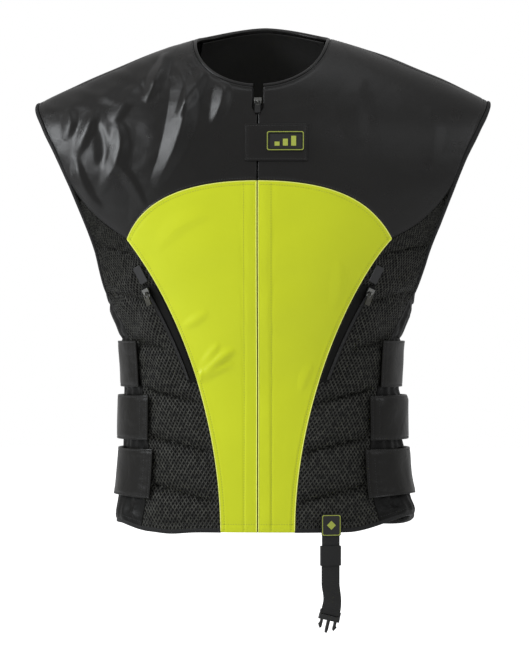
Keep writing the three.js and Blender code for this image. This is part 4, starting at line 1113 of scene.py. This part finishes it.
def strap_relief(seed):
    """Creases of a strap: lengthwise where it is pulled, and short ones by its sewn ends."""

    def relief(place):
        end = np.exp(-np.minimum(place.left, place.right) / 14)
        drawn = np.sin(2 * math.pi * place.foot / 11 + seed + 0.6 * np.sin(place.left / 9))
        return 0.9 * ripple(place.y, 0.6 * place.h, 34, seed) + 0.25 * end * drawn

    return relief


# Panels

ZERO = np.array([0.0])
bright_foot = straight((ZIP_LIP_HALF, 0), bright_edge(ZERO)[0])
mesh_foot = straight(bright_edge(ZERO)[0], side_seam(ZERO)[0])


def yoke_centre(s):
    h = mix(ARCH_START, NECK_FRONT, np.asarray(s, float))
    half = slit_half_at(h)
    turn = -turn_of_drop(crest_at(half) - h)
    end = front_neckline(ZERO)[0]
    reached = np.asarray(s, float) >= 1
    return np.stack([np.where(reached, end[0], half), np.where(reached, end[1], turn)], -1)


mesh_side = joined(side_seam, arm_edge(GUSSET_HEIGHT, JOIN_HEIGHT), SEAM_SHARE)
for side, mirror in SIDES:
    shell_piece(
        f"bright_panel_{side}",
        on_face(-1),
        (bright_foot, arch, straight((ZIP_LIP_HALF, 0), (ZIP_LIP_HALF, ARCH_START)), bright_edge),
        BRIGHT, relief=bright_relief, mirror=mirror,
        stitched=(("left", ZIP_TOPSTITCH), ("right", 5), ("top", 5), ("foot", HEM_BAND)),
        highlighted_edges=("left", "right", "top"),
    )
    shell_piece(
        f"mesh_panel_{side}",
        on_face(-1),
        (mesh_foot, yoke_join, bright_edge, mesh_side),
        MESH, relief=mesh_relief, mirror=mirror,
        stitched=(("foot", HEM_BAND), ("right", 4)), cloth=MESH_CLOTH,
    )
    shell_piece(
        f"front_yoke_{side}",
        over_shoulder,
        (
            as_turns(-1, joined(arch, yoke_join, ARCH_SHARE)),
            joined(front_neckline, shoulder_seam, NECK_SHARE),
            yoke_centre,
            cap_edge(-1, JOIN_HEIGHT),
        ),
        NYLON, relief=yoke_relief, mirror=mirror, stops=(ARCH_SHARE, NECK_SHARE),
        stitched=(("foot", 3), ("top", 4), ("right", 5)),
    )


def gusset_end(face):
    return float(on_face(face)(np.array([panel_edge_at(GUSSET_HEIGHT), GUSSET_HEIGHT]))[1])


def underarm(s):
    y = mix(gusset_end(-1), gusset_end(1), np.asarray(s, float))
    share = y / np.where(y < 0, gusset_end(-1), gusset_end(1))
    return np.stack([y, mix(UNDERARM * TIP_HEIGHT, GUSSET_HEIGHT, share**2)], -1)


def seam_by_depth(face):
    def edge(s):
        points = on_face(face)(side_seam(s))
        return points[..., 1:]

    return edge


side_foot = straight(seam_by_depth(-1)(ZERO)[0], seam_by_depth(1)(ZERO)[0])
for side, mirror in SIDES:
    shell_piece(
        f"side_panel_{side}", on_side, (side_foot, underarm, seam_by_depth(-1), seam_by_depth(1)),
        BACKING, relief=gather_relief, mirror=mirror,
        stitched=(("foot", HEM_BAND),), cloth=SIDE_CLOTH,
    )

back_edge = joined(side_seam, arm_edge(GUSSET_HEIGHT, BACK_YOKE_HEIGHT), SEAM_SHARE)
yoke_line = both_ways(straight((0, BACK_YOKE_HEIGHT), (panel_edge_at(BACK_YOKE_HEIGHT), BACK_YOKE_HEIGHT)))


def flipped(edge):
    return lambda s: edge(s) * (-1, 1)


shell_piece(
    "back_panel",
    on_face(1),
    (both_ways(straight((0, 0), side_seam(ZERO)[0])), yoke_line, flipped(back_edge), back_edge),
    MESH, relief=back_relief, stitched=(("foot", HEM_BAND), ("left", 4), ("right", 4)),
)
back_cap = cap_edge(1, BACK_YOKE_HEIGHT)
rim_stops = (0.5 - RIM_SHARE / 2, 0.5 + RIM_SHARE / 2)
shell_piece(
    "back_yoke",
    over_shoulder,
    (
        as_turns(1, yoke_line),
        both_ways(joined(back_rim, shoulder_seam, RIM_SHARE)),
        flipped(back_cap),
        back_cap,
    ),
    NYLON, relief=soft_relief(70, 0.9, 1.9), stops=rim_stops,
    stitched=(("foot", 3), ("top", 4), ("left", 5), ("right", 5)),
)
LINING_TOP, LINING_FOOT = 0.94 * NECK_HALF, 1.25 * NECK_HALF
lining_side = straight((LINING_FOOT, LINING_REACH), (LINING_TOP, float(rim_turn_at(LINING_TOP))))
shell_piece(
    "neck_lining",
    over_shoulder,
    (
        both_ways(straight((0, LINING_REACH), (LINING_FOOT, LINING_REACH))),
        both_ways(lambda s: back_rim(np.asarray(s, float) * LINING_TOP / NECK_HALF)),
        flipped(lining_side),
        lining_side,
    ),
    LINING_CLOTH, outer=-(WALL + LINING_GAP), inner=-(WALL + LINING_GAP + LINING),
    relief=soft_relief(45, 0.5, 0.6), rounding=0.6,
)


# Bindings

binding_outline = round_section(0.1, ARM_BINDING, -(WALL + BINDING_PROUD), BINDING_PROUD, 1.8)
neck_outline = round_section(0, NECK_TRIM, -(WALL + BINDING_PROUD), 0.2, 1.4)
S = np.linspace(0, 1, 40)
armhole = np.concatenate([
    on_side(underarm(S)),
    on_face(1)(arm_edge(GUSSET_HEIGHT, BACK_YOKE_HEIGHT)(S))[1:],
    over_shoulder(back_cap(S))[1:],
    over_shoulder(cap_edge(-1, JOIN_HEIGHT)(S))[::-1][1:],
    on_face(-1)(arm_edge(GUSSET_HEIGHT, JOIN_HEIGHT)(S))[::-1][1:-1],
])
for side, mirror in SIDES:
    across, out = local_frames(armhole, True)
    flip = np.array([mirror, 1, 1])
    name = f"armhole_binding_{side}"
    band = swept_object(name, armhole * flip, across * flip, out * flip, binding_outline, True)
    dress(band, name, BINDING)
neck_right = np.concatenate([over_shoulder(front_neckline(S)), over_shoulder(back_rim(S))[::-1][1:]])
neck_loop = np.concatenate([neck_right, (neck_right * (-1, 1, 1))[::-1][1:]])
across, out = local_frames(neck_loop, False)
band = swept_object("neck_binding", neck_loop, across, out, neck_outline, False)
dress(band, "neck_binding", NYLON)

hem_line = np.concatenate([
    on_face(-1)(mesh_foot(S)),
    on_side(side_foot(S))[1:],
    on_face(1)(straight(side_seam(ZERO)[0], (0, 0))(S))[1:],
])
hem_line = np.concatenate([hem_line, (hem_line * (-1, 1, 1))[::-1][1:]])
hem_out = shell_normal(hem_line)
hem_up = np.tile([0.0, 0.0, 1.0], (len(hem_line), 1))
HEM_BINDING = 5
hem_outline = round_section(-0.3, HEM_BINDING, -(WALL + 0.7), 0.4, 0.8)
dress(swept_object("hem_binding", hem_line, hem_up, hem_out, hem_outline, False), None, BINDING)


# Centre zip

ZIP_FACE = -(WALL + REST_GAP)
COIL_TOP = NECK_FRONT - SLIDER_BELOW_NECK + SLIDER_LENGTH / 2
TAPE_TOP = NECK_FRONT - REST_GAP


def tape_inner(h):
    return COIL_HALF + COIL_CLEARANCE + (slit_half_at(h) - ZIP_LIP_HALF) / 2


def strip_edges(low_x, high_x, low_h, high_h):
    """Four edges of a strip between two lines, each a function from height to x."""
    left = edge_of(low_x, lambda s: mix(low_h, high_h, s))
    right = edge_of(high_x, lambda s: mix(low_h, high_h, s))
    foot = straight(left(ZERO)[0], right(ZERO)[0])
    top = straight(left(ZERO + 1)[0], right(ZERO + 1)[0])
    return foot, top, left, right


def flat_line(x):
    return lambda h: np.full_like(h, x)


for side, mirror in SIDES:
    shell_piece(
        f"zip_tape_{side}", on_face(-1), strip_edges(tape_inner, flat_line(TAPE_WIDTH), 0, TAPE_TOP),
        WEBBING, outer=ZIP_FACE, inner=ZIP_FACE - TAPE_THICK, mirror=mirror, rounding=0.4,
    )
shell_piece(
    "zip_coil", on_face(-1), strip_edges(flat_line(-COIL_HALF), flat_line(COIL_HALF), 0, COIL_TOP),
    COIL, step=1.5, outer=ZIP_FACE, inner=ZIP_FACE - COIL_THICK, rounding=0.7,
)


# Pockets

EDGE_TABLE = bright_edge(np.linspace(0, 1, 400))


def bright_edge_at(h):
    return np.interp(h, EDGE_TABLE[:, 1], EDGE_TABLE[:, 0])


def welt_line(place, shift=0.0):
    def line(h):
        width = mix(WELT_FOOT_WIDTH, WELT_TOP_WIDTH, (h - WELT_FOOT) / (WELT_TOP - WELT_FOOT))
        return bright_edge_at(h) + WELT_SET_OFF + place * width + shift

    return line


WELT_FACE = REST_GAP + WELT_THICK
for side, mirror in SIDES:
    shell_piece(
        f"pocket_welt_{side}", on_face(-1), strip_edges(welt_line(0), welt_line(1), WELT_FOOT, WELT_TOP),
        BACKING, outer=WELT_FACE, inner=REST_GAP, relief=soft_relief(20, 0.3, 0.5),
        mirror=mirror, rounding=0.8,
    )
    coil_edges = strip_edges(
        welt_line(WELT_COIL_PLACE, -WELT_COIL_HALF),
        welt_line(WELT_COIL_PLACE, WELT_COIL_HALF),
        WELT_FOOT + WELT_MARGIN,
        WELT_TOP - WELT_MARGIN,
    )
    shell_piece(
        f"pocket_coil_{side}", on_face(-1), coil_edges, COIL, step=1,
        outer=WELT_FACE + REST_GAP + WELT_COIL_THICK, inner=WELT_FACE + REST_GAP, mirror=mirror, rounding=0.5,
    )


# Chest flap

FLAP_TOP = NECK_FRONT - FLAP_TOP_BELOW_NECK
flap_edges = strip_edges(
    flat_line(FLAP_LEFT), flat_line(FLAP_LEFT + FLAP_WIDTH), FLAP_TOP - FLAP_HEIGHT, FLAP_TOP
)
shell_piece(
    "chest_flap", on_face(-1), flap_edges, NYLON, step=1.5, outer=REST_GAP + FLAP_THICK,
    inner=REST_GAP, relief=soft_relief(40, 0.3, 1.1), rounding=1.2,
    stitched=(("foot", 2.5), ("top", 2.5), ("left", 2.5), ("right", 2.5)),
)


# Side straps

for index, strap in enumerate(STRAPS, 1):
    low, high = strap["foot"] * TIP_HEIGHT, strap["top"] * TIP_HEIGHT

    def strap_y(share, reach=strap["reach"]):
        return lambda h: mix(-reach * depth_at(-1, h), reach * depth_at(1, h), share)

    def strap_stand(u, stand=strap["stand"]):
        return STRAP_REST + STRAP_STAND * stand * np.maximum(np.sin(math.pi * u), 0) ** 0.8

    def strap_row(h, y_of=strap_y):
        return lambda s: np.stack([y_of(np.asarray(s, float))(h), np.full_like(s, h)], -1)

    strap_edges = (
        strap_row(low),
        strap_row(high),
        edge_of(strap_y(0), lambda s, a=low, b=high: mix(a, b, s)),
        edge_of(strap_y(1), lambda s, a=low, b=high: mix(a, b, s)),
    )
    for side, mirror in SIDES:
        shell_piece(
            f"side_strap_{side}_{index}", on_side, strap_edges, STRAP, step=2.5,
            outer=lambda u, stand=strap_stand: stand(u) + STRAP_THICK, inner=strap_stand,
            relief=strap_relief(0.7 * index + mirror), mirror=mirror, rounding=1.3,
            stitched=(("left", 3), ("right", 3), ("left", 12), ("foot", 2.5), ("top", 2.5)),
        )


# Hard pieces keep their solids' shape and get round edges

HARD = {
    "zip_slider": ("metal", METAL, 0.3),
    "zip_pull": ("plastic", PLASTIC, 0.25),
    "pocket_left_slider": ("metal", METAL, 0.25),
    "pocket_left_pull": ("plastic", GUNMETAL, 0.25),
    "pocket_right_slider": ("metal", METAL, 0.25),
    "pocket_right_pull": ("plastic", GUNMETAL, 0.25),
    "pocket_garage_left": ("backing", GARAGE_CLOTH, 0.6),
    "pocket_garage_right": ("backing", GARAGE_CLOTH, 0.6),
    "badge_rim": ("rubber", DULL_LIME, 0.4),
    "badge_face": ("rubber", DARK_RUBBER, 0.3),
    "lanyard_label": ("rubber", DARK_RUBBER, 0.5),
    "lanyard_keeper": ("webbing", WEBBING, 0.4),
    "lanyard_plug": ("plastic", PLASTIC, 0.5),
}
BODY_OF = {node: body for body, nodes in frame["record"]["behaviour"]["bodies"].items() for node in nodes}


def rounded_copy(node, material, radius_mm):
    source = frame["nodes"][node]
    mesh = source.data.copy()
    tools = bmesh.new()
    tools.from_mesh(mesh)
    bmesh.ops.remove_doubles(tools, verts=tools.verts, dist=0.005 * MM)
    bmesh.ops.dissolve_limit(tools, angle_limit=math.radians(2), verts=tools.verts, edges=tools.edges)
    tools.to_mesh(mesh)
    tools.free()
    obj = bpy.data.objects.new(f"{node}_shown", mesh)
    bpy.context.scene.collection.objects.link(obj)
    bevel = obj.modifiers.new("round_edges", "BEVEL")
    bevel.width = radius_mm * MM
    bevel.segments = 3
    bevel.limit_method = "ANGLE"
    bevel.angle_limit = math.radians(35)
    bevel.harden_normals = True
    mesh.polygons.foreach_set("use_smooth", [True] * len(mesh.polygons))
    mesh.set_sharp_from_angle(angle=math.radians(35))
    mesh.materials.clear()
    mesh.materials.append(material)
    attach(obj, BODY_OF[node])
    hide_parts(node)


for node, (slot, material, radius) in HARD.items():
    rounded_copy(node, material, radius)


# The tether's webbing

web_at = on_face(-1)(np.array([LANYARD_X, 0.0]))
web_out = shell_normal(web_at) * (1, 1, 0)
web_out = web_out / np.linalg.norm(web_out)
web_across = np.cross((0, 0, 1), web_out)
web_up = np.array([0.0, 0.0, 1.0])
TILT = math.radians(PLUG_TILT)
FOLD_RADIUS = PLUG_THICK / 2 + REST_GAP + WEB_THICK / 2
WEB_FRONT = REST_GAP + WEB_THICK / 2
WEB_MIDDLE = WEB_FRONT - WEB_THICK / 2 - REST_GAP / 2


def layer_out(above):
    return mix(FOLD_RADIUS, WEB_THICK / 2 + REST_GAP / 2, float(smoothstep(above, 2, NECKING)))


def web_station(above, out, bend):
    """A place on the webbing, and its across and out directions, as in the part's source."""
    lean = TILT * (1 - float(smoothstep(above, 0, TWIST_LENGTH)))
    across = np.array([math.cos(lean), -math.sin(lean), 0])
    up = np.array([math.sin(lean), math.cos(lean), 0])
    at = np.array([0, -WEB_DROP, 0]) + up * above + (0, 0, out)
    return at, across, up * -math.sin(bend) + np.array([0, 0, math.cos(bend)])


runs = np.linspace(0.5, WEB_TAIL, 30)
stations = [web_station(WEB_DROP + h, WEB_FRONT, 0) for h in np.linspace(WEB_SEWN, -10, 8)]
stations += [web_station(a, WEB_MIDDLE + layer_out(a), 0) for a in runs[::-1]]
for s in np.linspace(0, 1, 13):
    at, across, out = web_station(-(FOLD_RADIUS + SLOT_SLACK) * math.sin(math.pi * s), 0, math.pi * s)
    at[2] = WEB_MIDDLE + FOLD_RADIUS * math.cos(math.pi * s)
    stations.append((at, across, out))
stations += [web_station(a, WEB_MIDDLE - layer_out(a), math.pi) for a in runs]
to_world = np.stack([web_across, web_up, web_out])
web_points = np.array([s[0] for s in stations]) @ to_world + web_at
web_acrosses = np.array([s[1] for s in stations]) @ to_world
web_outs = np.array([s[2] for s in stations]) @ to_world
web_outline = round_section(-WEB_WIDTH / 2, WEB_WIDTH / 2, -WEB_THICK / 2, WEB_THICK / 2, 0.5, 3)
web = swept_object("lanyard_web", web_points, web_acrosses, web_outs, web_outline, False, 2.4)
dress(web, "lanyard_web", WEBBING)


# Stitches of both threads

for thread, material in (("bright", THREAD_BRIGHT), ("dark", THREAD_DARK)):
    stitches = np.concatenate(STITCHES[thread])
    uv = np.zeros((stitches.shape[0] * stitches.shape[1], 2))
    faces = stitch_faces(len(stitches))
    sewn = new_object(f"{thread}_stitches", placed(stitches.reshape(-1, 3)), faces, uv, 60)
    dress(sewn, None, material)


# Marks of the badge and the label


def raised_shape(name, matrix, outline, low, high, material, hole=None):
    """A flat raised shape in a frame: an outline in millimetres, or the ring between it and a hole."""
    count = len(outline)
    loops = [outline] if hole is None else [outline, hole]
    corners = [(x, y, z) for loop in loops for z in (low, high) for x, y in loop]
    index = np.arange(len(corners)).reshape(len(loops), 2, count)
    faces = []
    for k in range(len(loops)):
        for a, b in zip(range(count), np.roll(range(count), -1)):
            quad = (index[k, 0, a], index[k, 0, b], index[k, 1, b], index[k, 1, a])
            faces.append(quad if k == 0 else quad[::-1])
    if hole is None:
        faces += [tuple(index[0, 1]), tuple(index[0, 0][::-1])]
    else:
        for a, b in zip(range(count), np.roll(range(count), -1)):
            faces.append((index[0, 1, a], index[0, 1, b], index[1, 1, b], index[1, 1, a]))
            faces.append((index[0, 0, b], index[0, 0, a], index[1, 0, a], index[1, 0, b]))
    vertices = [matrix @ Vector(c) for c in np.array(corners) * MM]
    shape = facing_out(new_object(name, vertices, faces, np.array(corners)[:, :2] * MM, 30))
    dress(shape, None, material)


def round_rectangle(half_x, half_y, corner):
    return round_section(-half_x, half_x, -half_y, half_y, corner, 6)


def front_of(node, matrix):
    """The middle of a flat node's front and its half sizes, in millimetres of a frame."""
    inverse = matrix.inverted()
    local = np.array([inverse @ v.co for v in frame["nodes"][node].data.vertices]) / MM
    low, high = local.min(0), local.max(0)
    return (low + high) / 2, (high - low) / 2


badge_x = FLAP_LEFT + FLAP_WIDTH / 2
badge_matrix = front_matrix(badge_x, FLAP_TOP - FLAP_HEIGHT / 2)
badge_middle, badge_half = front_of("badge_face", badge_matrix)
badge_front = badge_middle[2] + badge_half[2]
rim_middle, rim_half = front_of("badge_rim", badge_matrix)
rim_front = rim_middle[2] + rim_half[2]


def frame_line(middle, half, inset, corner):
    outline = round_rectangle(half[0] - inset, half[1] - inset, corner)
    return [(middle[0] + x, middle[1] + y) for x, y in outline]


SUNK = 0.2
badge_outer, badge_inner = (frame_line(badge_middle, rim_half, inset, 2.2) for inset in (0.4, 1.1))
raised_shape(
    "badge_line", badge_matrix, badge_outer, rim_front - SUNK, rim_front + 0.15, LIME, badge_inner
)
BAR_HALF = 3
BAR_PITCH = 10
BAR_HEIGHTS = (5, 8.5, 12)
bar_foot = badge_middle[1] - BAR_HEIGHTS[-1] / 2
for k, bar_height in enumerate(BAR_HEIGHTS):
    bar_x = badge_middle[0] + (k - 1) * BAR_PITCH
    low_x, high_x, bar_top = bar_x - BAR_HALF, bar_x + BAR_HALF, bar_foot + bar_height
    corners = [(high_x, bar_foot), (high_x, bar_top), (low_x, bar_top), (low_x, bar_foot)]
    raised_shape(
        f"badge_bar_{k + 1}", badge_matrix, corners, badge_front - SUNK, badge_front + 0.4, LIME
    )


label_matrix = Matrix((web_across, web_up, web_out)).transposed().to_4x4()
label_matrix.translation = placed(web_at)
label_middle, label_half = front_of("lanyard_label", label_matrix)
label_front = label_middle[2] + label_half[2]
label_span = (label_front - SUNK, label_front + 0.3)
label_outer, label_inner = (frame_line(label_middle, label_half, inset, 2) for inset in (0.7, 1.5))
raised_shape("label_frame", label_matrix, label_outer, *label_span, LIME, label_inner)
LABEL_MARK = 5.5
corners = ((1, 0), (0, 1), (-1, 0), (0, -1))
mark = [(label_middle[0] + LABEL_MARK * a, label_middle[1] + LABEL_MARK * b) for a, b in corners]
raised_shape("label_mark", label_matrix, mark, *label_span, LIME)


# Camera, light and floor

CAMERA_DISTANCE = 3.5
CAMERA_AZIMUTH = math.radians(3)
CAMERA_ABOVE_HEM = 243
CAMERA_HEIGHT = (CAMERA_ABOVE_HEM - NECK_LEVEL) * MM
CAMERA_SHIFT = 2.5 * MM
SENSOR_HEIGHT = 36
LENS = 151.8
camera_data = bpy.data.cameras.new("camera")
camera_data.sensor_fit = "VERTICAL"
camera_data.sensor_height = SENSOR_HEIGHT
camera_data.lens = LENS
camera = bpy.data.objects.new("camera", camera_data)
bpy.context.scene.collection.objects.link(camera)
camera.rotation_euler = (math.radians(90), 0, CAMERA_AZIMUTH)
camera.location = (
    CAMERA_DISTANCE * math.sin(CAMERA_AZIMUTH) + CAMERA_SHIFT,
    -CAMERA_DISTANCE * math.cos(CAMERA_AZIMUTH),
    CAMERA_HEIGHT,
)
bpy.context.scene.camera = camera


def shown_strength(tree, socket, unseen, seen):
    """One strength where the camera sees a surface of the stage, another where it lights the part."""
    camera_ray = tree.nodes.new("ShaderNodeLightPath").outputs["Is Camera Ray"]
    strength = tree.nodes.new("ShaderNodeMapRange")
    tree.links.new(camera_ray, strength.inputs["Value"])
    strength.inputs["To Min"].default_value = unseen
    strength.inputs["To Max"].default_value = seen
    tree.links.new(strength.outputs["Result"], socket)


ROOM_LIGHT = 0.42
world = bpy.data.worlds.new("studio")
world.use_nodes = True
background = world.node_tree.nodes["Background"]
background.inputs["Color"].default_value = (1, 1, 1, 1)
shown_strength(world.node_tree, background.inputs["Strength"], ROOM_LIGHT, 1)
bpy.context.scene.world = world
bpy.context.scene.view_settings.view_transform = "Standard"


LIGHT_COLOR = (0.94, 0.97, 1)
LIGHT_TARGET = Vector((0, 0, -0.3))


def area_light(name, position, size, power):
    data = bpy.data.lights.new(name, "AREA")
    data.shape = "RECTANGLE"
    data.size, data.size_y = size
    data.energy = power
    data.color = LIGHT_COLOR
    light = bpy.data.objects.new(name, data)
    bpy.context.scene.collection.objects.link(light)
    light.location = position
    light.rotation_euler = (LIGHT_TARGET - Vector(position)).to_track_quat("-Z", "Y").to_euler()


area_light("key", (-3.0, -1.3, 1.1), (0.8, 1.6), 74)
area_light("fill", (1.6, -3.0, 1.6), (1.6, 1.2), 5)
area_light("rim", (2.8, -0.9, 0.9), (0.6, 1.6), 9)
area_light("top", (0, -0.6, 2.4), (2.0, 1.2), 8)

FLOOR_DROP = 0.03
FLOOR_HALF = 6
floor_level = CAD_BOX[0][2] - FLOOR_DROP
corners = [(FLOOR_HALF * a, FLOOR_HALF * b, floor_level) for a, b in ((-1, -1), (1, -1), (1, 1), (-1, 1))]
floor = new_object("floor", corners, [(0, 1, 2, 3)])
floor_finish = Finish("pale_floor", (0.9, 0.9, 0.9), 0.8, Specular_IOR_Level=0.0)
floor_finish.shader.inputs["Emission Color"].default_value = (1, 1, 1, 1)
shown_strength(floor_finish.tree, floor_finish.shader.inputs["Emission Strength"], 0, 0.9)
floor.data.materials.append(floor_finish.material)
